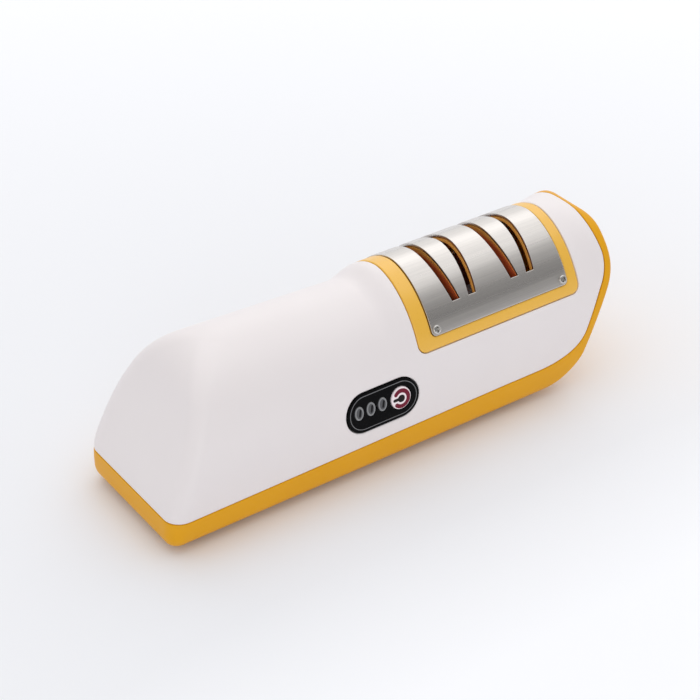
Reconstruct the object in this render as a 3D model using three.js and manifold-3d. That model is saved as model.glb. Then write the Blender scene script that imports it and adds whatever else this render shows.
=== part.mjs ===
// Cordless two-stage electric knife sharpener, standing on its feet at Z = 0.
// Millimetres, +Z up. X runs along the body from the handle to the head, Y across it,
// and the control panel is on the -Y side.
import * as THREE from 'three';
import { mergeVertices } from 'three/addons/utils/BufferGeometryUtils.js';
import Module from 'manifold-3d';

const wasm = await Module();
wasm.setup();

// Overall size
const LENGTH = 180;
const WIDTH = 55;
const HEIGHT = 60;

// Fits: between seated pieces, at the shaft, and the overrun of every cut
const FIT = 0.3;
const RUN = 0.08;
const OVER = 3;

// Sides of large, ordinary and small round pieces
const FINE_SIDES = 24;
const ROUND_SIDES = 18;
const SMALL_SIDES = 12;

// Moulded walls and the seam between the white shell and the tray
const WALL = 2;
const FLOOR = 2;
const FOOT_LIFT = 2;
const TRAY_HEIGHT = 12;
const LIP_THICKNESS = 1.2;
const LIP_RISE = 2.5;

// Body form: the crown dips along the handle and rises at the collar before the head
const HANDLE_DROP = 1.4;
const WAIST_DROP = 3.8;
const HANDLE_RIDGE_INSET = 30;
const COLLAR_LENGTH = 9.5;
const COLLAR_GAP = 1.1;
const FRAME_PROUD = 0.3;
const ARCH_SHOULDER_SHARE = 2.4;
const ARCH_CROWN_SHARE = 1.8;
const END_LEAN_SHARE = 0.48;
const SIDE_DRAFT = 1.5;
const UNDER_ROUND = 4;
const HANDLE_CORNER_ROUND = 6;
const HEAD_CORNER_ROUND = 2;
const HANDLE_TOP_ROUND = 17;
const HANDLE_TURN_SHARE = 0.75;
const HEAD_TOP_ROUND = 6;
const HEAD_KNEE = 6;
const HEAD_SWEEP_SHARE = 0.52;
const UNDERSIDE_INSET = 40;
const END_WALL = 4.4;
const END_WALL_KNEE_SHARE = 0.8;
const END_WALL_CROWN_SHARE = 1.15;
const HEAD_KNEE_SHARE = 0.61;
const SEAM_TURN = 9;
const SEAM_TURN_SHARE = 1.5;

// Guide frame and cover plate of the head
const FRAME_LENGTH = 67.8;
const FRAME_END_INSET = 15.6;
const FRAME_DROP = 22.3;
const FRAME_CORNER = 4;
const FRAME_FLANGE = 1.6;
const FRAME_FLANGE_THICKNESS = 1.3;
const PLATE_BORDER = 6;
const PLATE_END_BORDER = 4.4;
const PLATE_LIFT = 3.9;
const PLATE_CORNER = 1.6;
const PLATE_THICKNESS = 0.8;
const PLATE_SINK = 0.2;

// Blade slots: two pairs, each pair closing downwards round its wheel
const STAGE_INSET = 22;
const STAGE_END_INSET = 21.2;
const SLOT_WIDTH = 2.7;
const SLOT_DEPTH = 12;
const SLOT_SPACING = 6.2;
const SLOT_TILT = THREE.MathUtils.degToRad(11.3);
const GUIDE_HALF_LENGTH = 9;
const GUIDE_SIDE_INSET = 7.5;
const GUIDE_DEPTH = 16.5;

// Grinding wheels and shaft
const SHAFT_DIAMETER = 5;
const WHEEL_RADIUS = 18;
const WHEEL_BITE = 3.5;
const WHEEL_CONE_DEPTH = 3.5;
const WHEEL_RIM_HALF = 1;
const WHEEL_FACE_HALF = 2.8;
const HUB_HALF = 3.6;
const HUB_RADIUS = 6;
const POCKET_RUN = 0.8;
const SPACER_RADIUS = 4;
const NUT_FLATS = 8;
const NUT_THICKNESS = 2.2;

// Bearings
const BRACKET_THICKNESS = 3.2;
const BRACKET_EYE = 7;
const BRACKET_FOOT_HALF = 12;
const BRACKET_FOOT_LENGTH = 6.5;
const BRACKET_FOOT_THICKNESS = 2.4;
const BRACKET_SEAT_Z = 7;
const BUSH_RADIUS = 4;
const BUSH_FLANGE = 0.5;

// Motor and coupling
const MOTOR_RADIUS = 10.2;
const MOTOR_FLAT_HALF = 7.7;
const MOTOR_LENGTH = 25;
const MOTOR_CAP_LENGTH = 3.5;
const MOTOR_TERMINAL = 1.4;
const MOTOR_NOSE_RADIUS = 3;
const MOTOR_NOSE_LENGTH = 1.5;
const MOTOR_SHAFT_RADIUS = 1;
const COUPLING_RADIUS = 4.5;
const COUPLING_LENGTH = 6;
const CRADLE_LENGTH = 16;
const CRADLE_WALL = 2;
const STRAP_THICKNESS = 0.8;
const STRAP_LENGTH = 6;

// Battery
const CELL_DIAMETER = 18.4;
const CELL_LIFT = 6.3;
const TAB_THICKNESS = 0.3;
const TAB_WIDTH = 8;
const CELL_CAP_SHARE = 1 / 3;
const RIB = 2;
const RIB_SHARES = [1 / 8, 1 / 2, 7 / 8];
const END_STOP_HALF = 6;

// Control panel on the near side
const PANEL_FRAME_GAP = 2.7;
const PANEL_LIFT = 12;
const PANEL_LENGTH = 28.2;
const PANEL_HEIGHT = 13.6;
const PANEL_THICKNESS = 1.2;
const PANEL_PROUD = 0.3;
const PANEL_PAD = 1.2;
const PAD_THICKNESS = 1.5;
const BUTTON_RADIUS = 4;
const BUTTON_PROUD = 0.7;
const BUTTON_TRAVEL = 0.8;
const BUTTON_FLANGE = 1.2;
const BUTTON_FLANGE_THICKNESS = 0.8;
const LENS_PITCH_SHARE = 0.264;
const LENS_GAP = 1.1;
const LENS_HEIGHT = 4.8;

// Boards
const BOARD_THICKNESS = 1.6;
const PRESS_CLEARANCE = 0.5;
const BOARD_LENGTH = 32;
const BOARD_HEIGHT = 15;
const BOARD_POST_RADIUS = 2;
const BOARD_PIN_RADIUS = 1;
const SWITCH_SIZE = 6;
const SWITCH_HEIGHT = 2;
const PLUNGER_RADIUS = 1.6;
const LED_SIZE = 2.4;
const LED_HEIGHT = 1.6;
const CHARGE_BOARD_SHARE = 0.815;
const CHARGE_BOARD_LENGTH = 20;
const CHARGE_BOARD_DEPTH = 12;
const CHARGE_BOARD_Z = 6.5;
const CHARGE_PIN_SHARE = 0.4;
const SOCKET_WIDTH = 8.9;
const SOCKET_HEIGHT = 3.2;
const SOCKET_DEPTH = 7.3;
const SOCKET_SHEET = 0.4;

// Screws and feet
const HANDLE_SCREW_SHARE = 0.3;
const SCREW_WHEEL_GAP = 2.1;
const HEAD_SCREW_SIDE_INSET = 9;
const GUSSET_THICKNESS = 1.6;
const BASE_SCREW_RADIUS = 1.5;
const BASE_SCREW_HEAD = 2.75;
const BASE_SCREW_HEAD_HEIGHT = 1.8;
const BASE_SCREW_GRIP = 8;
const BOSS_RADIUS = 3;
const POST_RADIUS = 4;
const COUNTERBORE_DEPTH = 3;
const PLATE_SCREW_RADIUS = 0.9;
const PLATE_SCREW_HEAD = 1.5;
const PLATE_SCREW_HEAD_HEIGHT = 0.7;
const PLATE_SCREW_DOME_SHARES = [[0.9, 0.7], [0.55, 1]];
const PLATE_SCREW_LENGTH = 3;
const PLATE_SCREW_INSET = 1.9;
const HANDLE_FOOT_INSET = 12;
const HEAD_FOOT_INSET = 45;
const FOOT_SIDE_INSET = 12;
const FOOT_RADIUS = 4.5;
const FOOT_RECESS = 0.8;

// Heights and places that follow from the sizes above
const seamZ = FOOT_LIFT + TRAY_HEIGHT;
const headCrown = HEIGHT - FRAME_PROUD;
const handleCrown = HEIGHT - HANDLE_DROP;
const waistCrown = HEIGHT - WAIST_DROP;
const handleFaceX = -LENGTH / 2;
const headFaceX = LENGTH / 2;
const handleRidgeX = handleFaceX + HANDLE_RIDGE_INSET;
const frameEndX = headFaceX - FRAME_END_INSET;
const frameStartX = frameEndX - FRAME_LENGTH;
const frameBottom = HEIGHT - FRAME_DROP;
const plateBottom = frameBottom + PLATE_LIFT;
const collarEndX = frameStartX - COLLAR_GAP;
const collarStartX = collarEndX - COLLAR_LENGTH;
const undersideEndX = headFaceX - UNDERSIDE_INSET;
const stageFineX = frameStartX + STAGE_INSET;
const stageCoarseX = frameEndX - STAGE_END_INSET;
const slotFloor = HEIGHT - SLOT_DEPTH;
const shaftZ = slotFloor + WHEEL_BITE - WHEEL_RADIUS;
const cellZ = FOOT_LIFT + FLOOR + CELL_LIFT + CELL_DIAMETER / 2;
const panelX = frameStartX - PANEL_FRAME_GAP - PANEL_LENGTH / 2;
const panelZ = seamZ + PANEL_LIFT;
const traySkin = WALL + FIT + LIP_THICKNESS;
const frameDepth = WALL + FIT + FRAME_FLANGE_THICKNESS;
const slotTiltTan = Math.tan(SLOT_TILT);
const trayFloorZ = FOOT_LIFT + FLOOR;

// The drive train in line, from the fine wheel back to the cell
const bracketFineX = stageFineX - HUB_HALF - FIT - BUSH_FLANGE - FIT - BRACKET_THICKNESS;
const couplingX = bracketFineX - FIT - BUSH_FLANGE - FIT - COUPLING_LENGTH;
const motorEndX = couplingX - FIT - MOTOR_NOSE_LENGTH;
const motorStartX = motorEndX - MOTOR_LENGTH;
const tabGap = TAB_THICKNESS + FIT * 2;
const cellTopZ = cellZ + CELL_DIAMETER / 2;
const cellStartX = handleFaceX + END_LEAN_SHARE * (cellTopZ - seamZ) + WALL + FIT;
const cellEndX = motorStartX - MOTOR_TERMINAL - tabGap;
const cellLength = cellEndX - cellStartX;

// Colours and finishes
const finish = (color, roughness, metalness = 0) =>
  new THREE.MeshStandardMaterial({ color, roughness, metalness, flatShading: true });
const whiteShell = finish(0xe9e4e3, 0.42);
const yellowShell = finish(0xe3a325, 0.45);
const steelPlate = finish(0xb9b7b8, 0.32, 1);
const screwSteel = finish(0xc9c9cb, 0.25, 1);
const blackPanel = finish(0x0b0b0d, 0.25);
const buttonFace = finish(0xf2eeee, 0.35);
const smokedLens = finish(0x55565a, 0.2);
const greyAbrasive = finish(0x77736e, 0.9);
const redAbrasive = finish(0x8c4a36, 0.95);
const bronze = finish(0x9a7440, 0.5, 1);
const zincSteel = finish(0x9fa2a5, 0.4, 1);
const blackNylon = finish(0x1d1d1f, 0.6);
const cellSleeve = finish(0x2f6fa8, 0.4);
const nickel = finish(0xb4b0a4, 0.35, 1);
const greenBoard = finish(0x1f5a3a, 0.5);
const clearLed = finish(0xe8e8df, 0.2);
const rubber = finish(0x2b2b2d, 0.85);

// A closed geometry as a solid, with shared corners joined and flat slivers left out
function solid(geometry) {
  geometry.deleteAttribute('normal');
  geometry.deleteAttribute('uv');
  const merged = mergeVertices(geometry);
  const index = merged.getIndex().array;
  const triVerts = [];
  for (let i = 0; i < index.length; i += 3) {
    const [a, b, c] = [index[i], index[i + 1], index[i + 2]];
    if (a !== b && b !== c && a !== c) triVerts.push(a, b, c);
  }
  return new wasm.Manifold(new wasm.Mesh({
    numProp: 3,
    vertProperties: new Float32Array(merged.attributes.position.array),
    triVerts: new Uint32Array(triVerts),
  }));
}

const join = (...parts) => parts.reduce((sum, part) => sum.add(part));
const cut = (part, ...tools) => tools.reduce((rest, tool) => rest.subtract(tool), part);

// A named mesh of a finished solid
const sharpener = new THREE.Group();
function place(name, part, material) {
  const { vertProperties, triVerts } = part.getMesh();
  const geometry = new THREE.BufferGeometry();
  geometry.setAttribute('position', new THREE.BufferAttribute(vertProperties, 3));
  geometry.setIndex(new THREE.BufferAttribute(triVerts, 1));
  const mesh = new THREE.Mesh(geometry, material);
  mesh.name = name;
  sharpener.add(mesh);
  return mesh;
}

// A block between two corners
function block(x0, x1, y0, y1, z0, z1) {
  const geometry = new THREE.BoxGeometry(x1 - x0, y1 - y0, z1 - z0);
  return solid(geometry.translate((x0 + x1) / 2, (y0 + y1) / 2, (z0 + z1) / 2));
}

// Round bars along X, Y and Z
function barX(radius, x0, x1, y, z, sides = ROUND_SIDES) {
  const geometry = new THREE.CylinderGeometry(radius, radius, x1 - x0, sides);
  return solid(geometry.rotateZ(-Math.PI / 2).translate((x0 + x1) / 2, y, z));
}
function barY(radius, x, y0, y1, z, sides = ROUND_SIDES) {
  const geometry = new THREE.CylinderGeometry(radius, radius, y1 - y0, sides);
  return solid(geometry.translate(x, (y0 + y1) / 2, z));
}
function barZ(radius, x, y, z0, z1, sides = ROUND_SIDES) {
  const geometry = new THREE.CylinderGeometry(radius, radius, z1 - z0, sides);
  return solid(geometry.rotateX(Math.PI / 2).translate(x, y, (z0 + z1) / 2));
}

// A side-view outline (X, Z) run across Y, and an end-view outline (Y, Z) run along X
function acrossY(shape, y0, y1, curveSegments = 3) {
  const run = { depth: y1 - y0, bevelEnabled: false, curveSegments };
  const geometry = new THREE.ExtrudeGeometry(shape, run);
  return solid(geometry.rotateX(Math.PI / 2).translate(0, y1, 0));
}
function alongX(shape, x0, x1, curveSegments = 8) {
  const run = { depth: x1 - x0, bevelEnabled: false, curveSegments };
  const geometry = new THREE.ExtrudeGeometry(shape, run);
  return solid(geometry.rotateY(Math.PI / 2).rotateX(Math.PI / 2).translate(x0, 0, 0));
}

// A profile of [radius, station] pairs turned round an axis along X or Z
function turned(profile, sides) {
  return new THREE.LatheGeometry(profile.map(([r, s]) => new THREE.Vector2(r, s)), sides);
}
const turnedX = (profile, x, y, z, sides = ROUND_SIDES) =>
  solid(turned(profile, sides).rotateZ(-Math.PI / 2).translate(x, y, z));
const turnedZ = (profile, x, y, z, sides = ROUND_SIDES) =>
  solid(turned(profile, sides).rotateX(Math.PI / 2).translate(x, y, z));
const ring = (inner, outer, x0, x1) => [[inner, x0], [outer, x0], [outer, x1], [inner, x1], [inner, x0]];

// A rectangle with round corners, and a stadium, as side-view outlines
function roundRect(x0, x1, z0, z1, r) {
  const shape = new THREE.Shape();
  shape.moveTo(x0 + r, z0).lineTo(x1 - r, z0);
  shape.absarc(x1 - r, z0 + r, r, -Math.PI / 2, 0);
  shape.lineTo(x1, z1 - r);
  shape.absarc(x1 - r, z1 - r, r, 0, Math.PI / 2);
  shape.lineTo(x0 + r, z1);
  shape.absarc(x0 + r, z1 - r, r, Math.PI / 2, Math.PI);
  shape.lineTo(x0, z0 + r);
  shape.absarc(x0 + r, z0 + r, r, Math.PI, Math.PI * 1.5);
  return shape;
}
const stadium = (x, z, length, height) =>
  roundRect(x - length / 2, x + length / 2, z - height / 2, z + height / 2, Math.min(length, height) / 2);

// The crown line along the body
function crownAt(x) {
  const fall = (waistCrown - handleCrown) / (collarStartX - handleRidgeX);
  const handle = handleCrown + fall * (x - handleRidgeX);
  const rise = THREE.MathUtils.smoothstep(x, collarStartX, collarEndX);
  return THREE.MathUtils.lerp(handle, headCrown, rise);
}

// End profiles in side view, from the underside to the crown
const leanRun = (z) => END_LEAN_SHARE * (z - seamZ);
const handleTurnZ = handleCrown - HANDLE_TOP_ROUND * HANDLE_TURN_SHARE;
const handleTopX = handleFaceX + leanRun(handleCrown);
const handleProfile = new THREE.Path();
handleProfile.moveTo(handleFaceX + UNDER_ROUND, FOOT_LIFT);
handleProfile.quadraticCurveTo(handleFaceX + FIT, FOOT_LIFT, handleFaceX, FOOT_LIFT + UNDER_ROUND);
handleProfile.lineTo(handleFaceX, seamZ);
handleProfile.lineTo(handleFaceX + leanRun(handleTurnZ), handleTurnZ);
handleProfile.quadraticCurveTo(handleTopX, handleCrown, handleTopX + HANDLE_TOP_ROUND, handleCrown);

const headKneeZ = THREE.MathUtils.lerp(seamZ, headCrown, HEAD_KNEE_SHARE);
const headSeamX = headFaceX - leanRun(headKneeZ);
const headProfile = new THREE.Path();
headProfile.moveTo(undersideEndX, FOOT_LIFT);
headProfile.bezierCurveTo(
  THREE.MathUtils.lerp(undersideEndX, headSeamX, HEAD_SWEEP_SHARE), FOOT_LIFT,
  headSeamX - END_LEAN_SHARE * TRAY_HEIGHT / 2, FOOT_LIFT + TRAY_HEIGHT / 2,
  headSeamX, seamZ,
);
headProfile.lineTo(headFaceX - END_LEAN_SHARE * HEAD_KNEE, headKneeZ - HEAD_KNEE);
headProfile.quadraticCurveTo(headFaceX, headKneeZ, headFaceX, headKneeZ + HEAD_KNEE);
headProfile.lineTo(headFaceX, headCrown - HEAD_TOP_ROUND);
headProfile.quadraticCurveTo(headFaceX, headCrown, headFaceX - HEAD_TOP_ROUND, headCrown);

// X of a profile at a height
function profileReader(path) {
  const points = path.getPoints(16);
  return (z) => {
    let i = 1;
    while (i < points.length - 1 && points[i].y < z) i += 1;
    const [a, b] = [points[i - 1], points[i]];
    if (b.y === a.y) return b.x;
    return THREE.MathUtils.lerp(a.x, b.x, THREE.MathUtils.clamp((z - a.y) / (b.y - a.y), 0, 1));
  };
}
const handleXAt = profileReader(handleProfile);
const headXAt = profileReader(headProfile);

// Half width of the tray wall at a height: drafted, with a round lower edge
function trayHalfWidth(z) {
  const draft = SIDE_DRAFT * (seamZ - z) / TRAY_HEIGHT;
  const into = THREE.MathUtils.clamp((FOOT_LIFT + UNDER_ROUND - z) / UNDER_ROUND, 0, 1);
  return WIDTH / 2 - draft - UNDER_ROUND * (1 - Math.sqrt(1 - into * into));
}

// Half width of the arch at a share of its height, and the share at an angle up the arch
const archWidthShare = (angle) => Math.cos(angle) ** (2 / ARCH_CROWN_SHARE);
const archHeightShare = (angle) => Math.sin(angle) ** (2 / ARCH_SHOULDER_SHARE);

// Stations across the collar, where the straight sides bend
const collarSteps = 5;
const collarStations = Array.from({ length: collarSteps + 1 }, (_, k) =>
  THREE.MathUtils.lerp(collarStartX, collarEndX, k / collarSteps));

// One level of the body: a rounded rectangle in plan whose height follows the crown line
function levelRing(x0, x1, half, handleRound, headRound, heightAt) {
  const points = [];
  const near = [];
  const roundA = Math.min(handleRound, half);
  const roundB = Math.min(headRound, half);
  const handleArcSteps = 4;
  const headArcSteps = 2;
  for (let k = 0; k <= handleArcSteps; k += 1) {
    const a = (k / handleArcSteps) * Math.PI / 2;
    near.push([x0 + roundA * (1 - Math.cos(a)), half - roundA * (1 - Math.sin(a))]);
  }
  for (const x of collarStations) near.push([x, half]);
  for (let k = 0; k <= headArcSteps; k += 1) {
    const a = (k / headArcSteps) * Math.PI / 2;
    near.push([x1 - roundB * (1 - Math.sin(a)), half - roundB * (1 - Math.cos(a))]);
  }
  for (const [x, y] of near) points.push([x, -y, heightAt(x)]);
  points.push([x1, 0, heightAt(x1)]);
  for (const [x, y] of near.reverse()) points.push([x, y, heightAt(x)]);
  points.push([x0, 0, heightAt(x0)]);
  return points;
}

// The whole body form, grown or shrunk by an inset, with its own floor height
const archSteps = 9;
const underRoundShares = [0, 0.08, 0.3, 1];
function bodyForm(inset, floor = inset) {
  const levels = [];
  const bottom = FOOT_LIFT + floor;
  const trayZ = underRoundShares.map((s) => bottom + s * UNDER_ROUND);
  trayZ.push((bottom + UNDER_ROUND + seamZ) / 2, seamZ);
  for (const z of trayZ) {
    const half = trayHalfWidth(z) - inset;
    const shrink = WIDTH / 2 - trayHalfWidth(z);
    const handleRound = Math.max(HANDLE_CORNER_ROUND - inset - shrink, HEAD_CORNER_ROUND / 2);
    const headRound = Math.max(HEAD_CORNER_ROUND - inset, HEAD_CORNER_ROUND / 4);
    levels.push(levelRing(handleXAt(z) + inset, headXAt(z) - inset, half, handleRound, headRound, () => z));
  }
  for (let k = 1; k <= archSteps; k += 1) {
    const angle = (k / archSteps) * Math.PI / 2;
    const share = k === archSteps ? 1 : archHeightShare(angle);
    const half = k === archSteps ? 0 : (WIDTH / 2 - inset) * archWidthShare(angle);
    const x0 = handleXAt(seamZ + (handleCrown - seamZ) * share) + inset;
    const x1 = headXAt(seamZ + (headCrown - seamZ) * share) - inset;
    const heightAt = (x) => seamZ + (crownAt(x) - inset - seamZ) * share;
    const handleRound = Math.max(HANDLE_CORNER_ROUND - inset, HEAD_CORNER_ROUND);
    levels.push(levelRing(x0, x1, half, handleRound, HEAD_CORNER_ROUND, heightAt));
  }
  const count = levels[0].length;
  const positions = levels.flat(2);
  const index = [];
  for (let i = 0; i < levels.length - 1; i += 1) {
    for (let j = 0; j < count; j += 1) {
      const [a, b] = [i * count + j, i * count + (j + 1) % count];
      index.push(a, b, b + count, a, b + count, a + count);
    }
  }
  for (let j = 1; j < count - 1; j += 1) index.push(0, j + 1, j);
  const geometry = new THREE.BufferGeometry();
  geometry.setAttribute('position', new THREE.Float32BufferAttribute(positions, 3));
  geometry.setIndex(index);
  return solid(geometry);
}

// The side of the arch at a height: its half width and how far it leans back
function archSide(x, z, inset) {
  const rise = crownAt(x) - inset - seamZ;
  const half = (h) => (WIDTH / 2 - inset)
    * (1 - ((h - seamZ) / rise) ** ARCH_SHOULDER_SHARE) ** (1 / ARCH_CROWN_SHARE);
  const slope = (half(z + FIT) - half(z - FIT)) / (FIT * 2);
  return { y: half(z), tilt: Math.atan(-slope) };
}

// The seam in side view: level along the side, then up the head end to the crown
function seamRegion(shift, white) {
  const edge = new THREE.Shape();
  const top = HEIGHT + OVER;
  const wallX = (z) => headXAt(z) - END_WALL;
  const turnX = wallX(seamZ) - SEAM_TURN * END_LEAN_SHARE;
  edge.moveTo(handleFaceX - OVER, seamZ - shift);
  edge.lineTo(turnX - SEAM_TURN * SEAM_TURN_SHARE + shift, seamZ - shift);
  edge.quadraticCurveTo(
    wallX(seamZ) + shift, seamZ - shift,
    wallX(seamZ + SEAM_TURN) + shift, seamZ + SEAM_TURN - shift,
  );
  edge.lineTo(wallX(headKneeZ - HEAD_KNEE) + shift, headKneeZ - HEAD_KNEE - shift);
  edge.quadraticCurveTo(
    headFaceX - END_WALL * END_WALL_KNEE_SHARE + shift, headKneeZ - shift,
    headFaceX - END_WALL * END_WALL_KNEE_SHARE + shift, headKneeZ + HEAD_KNEE - shift,
  );
  edge.lineTo(headFaceX - END_WALL + shift, headCrown - HEAD_TOP_ROUND / 2 - shift);
  edge.lineTo(headFaceX - END_WALL * END_WALL_CROWN_SHARE + shift, top);
  if (white) {
    edge.lineTo(handleFaceX - OVER, top);
  } else {
    edge.lineTo(headFaceX + OVER, top);
    edge.lineTo(headFaceX + OVER, -OVER);
    edge.lineTo(handleFaceX - OVER, -OVER);
  }
  return acrossY(edge, -WIDTH, WIDTH, 5);
}

const skinOuter = bodyForm(0);
const skinInner = bodyForm(WALL);
const aboveTop = HEIGHT + OVER + FRAME_CORNER * 2;
const frameWindow = (grow) => acrossY(roundRect(
  frameStartX - grow, frameEndX + grow, frameBottom - grow, aboveTop, FRAME_CORNER + grow,
), -WIDTH, WIDTH);
const buttonX = panelX + PANEL_LENGTH / 2 - PANEL_HEIGHT / 2;
const lensPitch = (PANEL_LENGTH - PANEL_HEIGHT / 2 - BUTTON_RADIUS) * LENS_PITCH_SHARE;
const lensWidth = lensPitch - LENS_GAP;
const lensX = (k) => panelX - PANEL_LENGTH / 2 + lensPitch * (k + 1);
const nearReach = -WIDTH / 2 - OVER;

// How deep the button reaches, and the board behind it
const flangeRadius = BUTTON_RADIUS + BUTTON_FLANGE;
const padBack = (z) => -archSide(buttonX, z, WALL + PAD_THICKNESS).y;
const flangeFrontY = padBack(panelZ + flangeRadius) + FIT;
const flangeBackY = flangeFrontY + BUTTON_FLANGE_THICKNESS;
const switchTopY = flangeBackY + BUTTON_TRAVEL + PRESS_CLEARANCE;
const boardFaceY = switchTopY + SWITCH_HEIGHT;

// White housing: open below, with the head window, the panel seat and its screw bosses
const bossZ = seamZ + LIP_RISE + FIT;
const headBossTop = frameBottom - FRAME_FLANGE - FIT * 2;
const handleScrewX = THREE.MathUtils.lerp(cellStartX, cellEndX, HANDLE_SCREW_SHARE);
const handleScrewY = (CELL_DIAMETER / 2 + WIDTH / 2 - traySkin) / 2;
const headScrewX = stageFineX + WHEEL_FACE_HALF + SCREW_WHEEL_GAP + BOSS_RADIUS;
const headScrewY = WIDTH / 2 - HEAD_SCREW_SIDE_INSET;
const screwPlaces = [-1, 1].map((side) => [handleScrewX, side * handleScrewY, HEIGHT])
  .concat([-1, 1].map((side) => [headScrewX, side * headScrewY, headBossTop]));
const boardPinX = [panelX - BOARD_LENGTH / 2 + BOSS_RADIUS, panelX + BOARD_LENGTH / 2 - BOSS_RADIUS];
const boardPinZ = panelZ + flangeRadius + FIT * 2;
const panelPad = acrossY(
  stadium(panelX, panelZ, PANEL_LENGTH + PANEL_PAD * 2, PANEL_HEIGHT + PANEL_PAD * 2), nearReach, 0,
).intersect(bodyForm(WALL / 2)).subtract(bodyForm(WALL + PAD_THICKNESS));
const bosses = screwPlaces.map(([x, y, top]) => barZ(BOSS_RADIUS, x, y, bossZ, top, SMALL_SIDES));
const gussets = screwPlaces.map(([x, y]) => {
  const wallY = Math.sign(y) * WIDTH / 2;
  return block(
    x - GUSSET_THICKNESS / 2, x + GUSSET_THICKNESS / 2,
    Math.min(y, wallY), Math.max(y, wallY), bossZ, headBossTop,
  );
});
const boardPosts = boardPinX.map((x) => join(
  barY(BOARD_POST_RADIUS, x, nearReach, boardFaceY - FIT, boardPinZ, SMALL_SIDES),
  barY(BOARD_PIN_RADIUS, x, nearReach, boardFaceY + BOARD_THICKNESS + FIT * 2, boardPinZ, SMALL_SIDES),
));
const pilotHoles = screwPlaces.map(([x, y]) =>
  barZ(BASE_SCREW_RADIUS + FIT, x, y, bossZ - OVER, bossZ + BASE_SCREW_GRIP + FIT, SMALL_SIDES));
const buttonHole = barY(BUTTON_RADIUS + FIT, buttonX, nearReach, 0, panelZ);
const lensHoles = [0, 1, 2].map((k) => acrossY(
  stadium(lensX(k), panelZ, lensWidth + FIT * 2, LENS_HEIGHT + FIT * 2), nearReach, 0,
));
const panelSeat = acrossY(
  stadium(panelX, panelZ, PANEL_LENGTH + FIT * 2, PANEL_HEIGHT + FIT * 2), nearReach, 0, 5,
).subtract(bodyForm(PANEL_THICKNESS - PANEL_PROUD + FIT));
const shellExtras = join(...bosses, ...gussets, ...boardPosts).intersect(bodyForm(WALL / 2));
const upperShell = cut(
  join(skinOuter.intersect(seamRegion(0, true)).subtract(skinInner), panelPad, shellExtras),
  frameWindow(FIT), panelSeat, buttonHole, ...lensHoles, ...pilotHoles,
);
place('upper_shell', upperShell, whiteShell);

// Yellow tray: floor, side walls with a lip inside the shell, and the tall end wall
const trayRegion = seamRegion(FIT, false);
const lipRegion = seamRegion(-LIP_RISE, false);
const trayCavity = bodyForm(traySkin, FLOOR);
const insideZ = FOOT_LIFT + FLOOR / 2;
const cellCut = barX(CELL_DIAMETER / 2 + FIT, -LENGTH, LENGTH, 0, cellZ, FINE_SIDES);
const chargeX = THREE.MathUtils.lerp(cellStartX, cellEndX, CHARGE_BOARD_SHARE);
const chargeY1 = trayHalfWidth(CHARGE_BOARD_Z) - traySkin - FIT * 2;
const chargeY0 = chargeY1 - CHARGE_BOARD_DEPTH;
const ribHalfSpan = chargeY0 - FIT * 2;
const cellRibs = RIB_SHARES.map((share) => {
  const x = THREE.MathUtils.lerp(cellStartX, cellEndX, share);
  return block(x - RIB / 2, x + RIB / 2, -ribHalfSpan, ribHalfSpan, insideZ, cellZ - RIB);
});
const endStops = [cellStartX - tabGap - RIB, cellEndX + tabGap].map((x) => block(
  x, x + RIB, -END_STOP_HALF, END_STOP_HALF, insideZ, cellZ,
));
const nutX = stageCoarseX + HUB_HALF + FIT;
const bracketCoarseX = nutX + NUT_THICKNESS + FIT + BUSH_FLANGE + FIT;
const bracketPlaces = { left: bracketFineX, right: bracketCoarseX };
const bracketPads = Object.values(bracketPlaces).map((x) => block(
  x + BRACKET_THICKNESS - BRACKET_FOOT_LENGTH, x + BRACKET_THICKNESS,
  -BRACKET_FOOT_HALF, BRACKET_FOOT_HALF, insideZ, BRACKET_SEAT_Z - FIT,
));
const posts = screwPlaces.map(([x, y]) => barZ(POST_RADIUS, x, y, FOOT_LIFT, bossZ - FIT, SMALL_SIDES));
const chargePinX = [-1, 1].map((side) => chargeX + side * CHARGE_BOARD_LENGTH * CHARGE_PIN_SHARE);
const chargePinY = (chargeY0 + chargeY1) / 2;
const chargePinTop = CHARGE_BOARD_Z + BOARD_THICKNESS + FIT * 2;
const chargePosts = chargePinX.map((x) => join(
  barZ(BOARD_POST_RADIUS, x, chargePinY, insideZ, CHARGE_BOARD_Z - FIT, SMALL_SIDES),
  barZ(BOARD_PIN_RADIUS, x, chargePinY, insideZ, chargePinTop, SMALL_SIDES),
));
const trayInside = join(...cellRibs, ...endStops, ...bracketPads, ...posts, ...chargePosts)
  .subtract(cellCut).intersect(bodyForm(WALL / 2));
const screwSeatZ = FOOT_LIFT + COUNTERBORE_DEPTH;
const counterbores = screwPlaces.flatMap(([x, y]) => [
  barZ(BASE_SCREW_HEAD + FIT, x, y, -OVER, screwSeatZ, SMALL_SIDES),
  barZ(BASE_SCREW_RADIUS + FIT, x, y, -OVER, bossZ + OVER, SMALL_SIDES),
]);
const footY = WIDTH / 2 - FOOT_SIDE_INSET;
const footPlaces = [handleFaceX + HANDLE_FOOT_INSET, headFaceX - HEAD_FOOT_INSET]
  .flatMap((x) => [[x, -footY], [x, footY]]);
const footRecesses = footPlaces.map(([x, y]) =>
  barZ(FOOT_RADIUS + FIT, x, y, -OVER, FOOT_LIFT + FOOT_RECESS));
const socketZ = CHARGE_BOARD_Z + BOARD_THICKNESS + FIT + SOCKET_HEIGHT / 2;
const socketMouth = acrossY(
  stadium(chargeX, socketZ, SOCKET_WIDTH + FIT * 2, SOCKET_HEIGHT + FIT * 2), chargeY1, WIDTH,
);
const trayShell = cut(
  join(skinOuter.intersect(trayRegion), bodyForm(WALL + FIT).intersect(lipRegion)), trayCavity,
);
const baseTray = cut(join(trayShell, trayInside), ...counterbores, ...footRecesses, socketMouth);
place('base_tray', baseTray, yellowShell);

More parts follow.
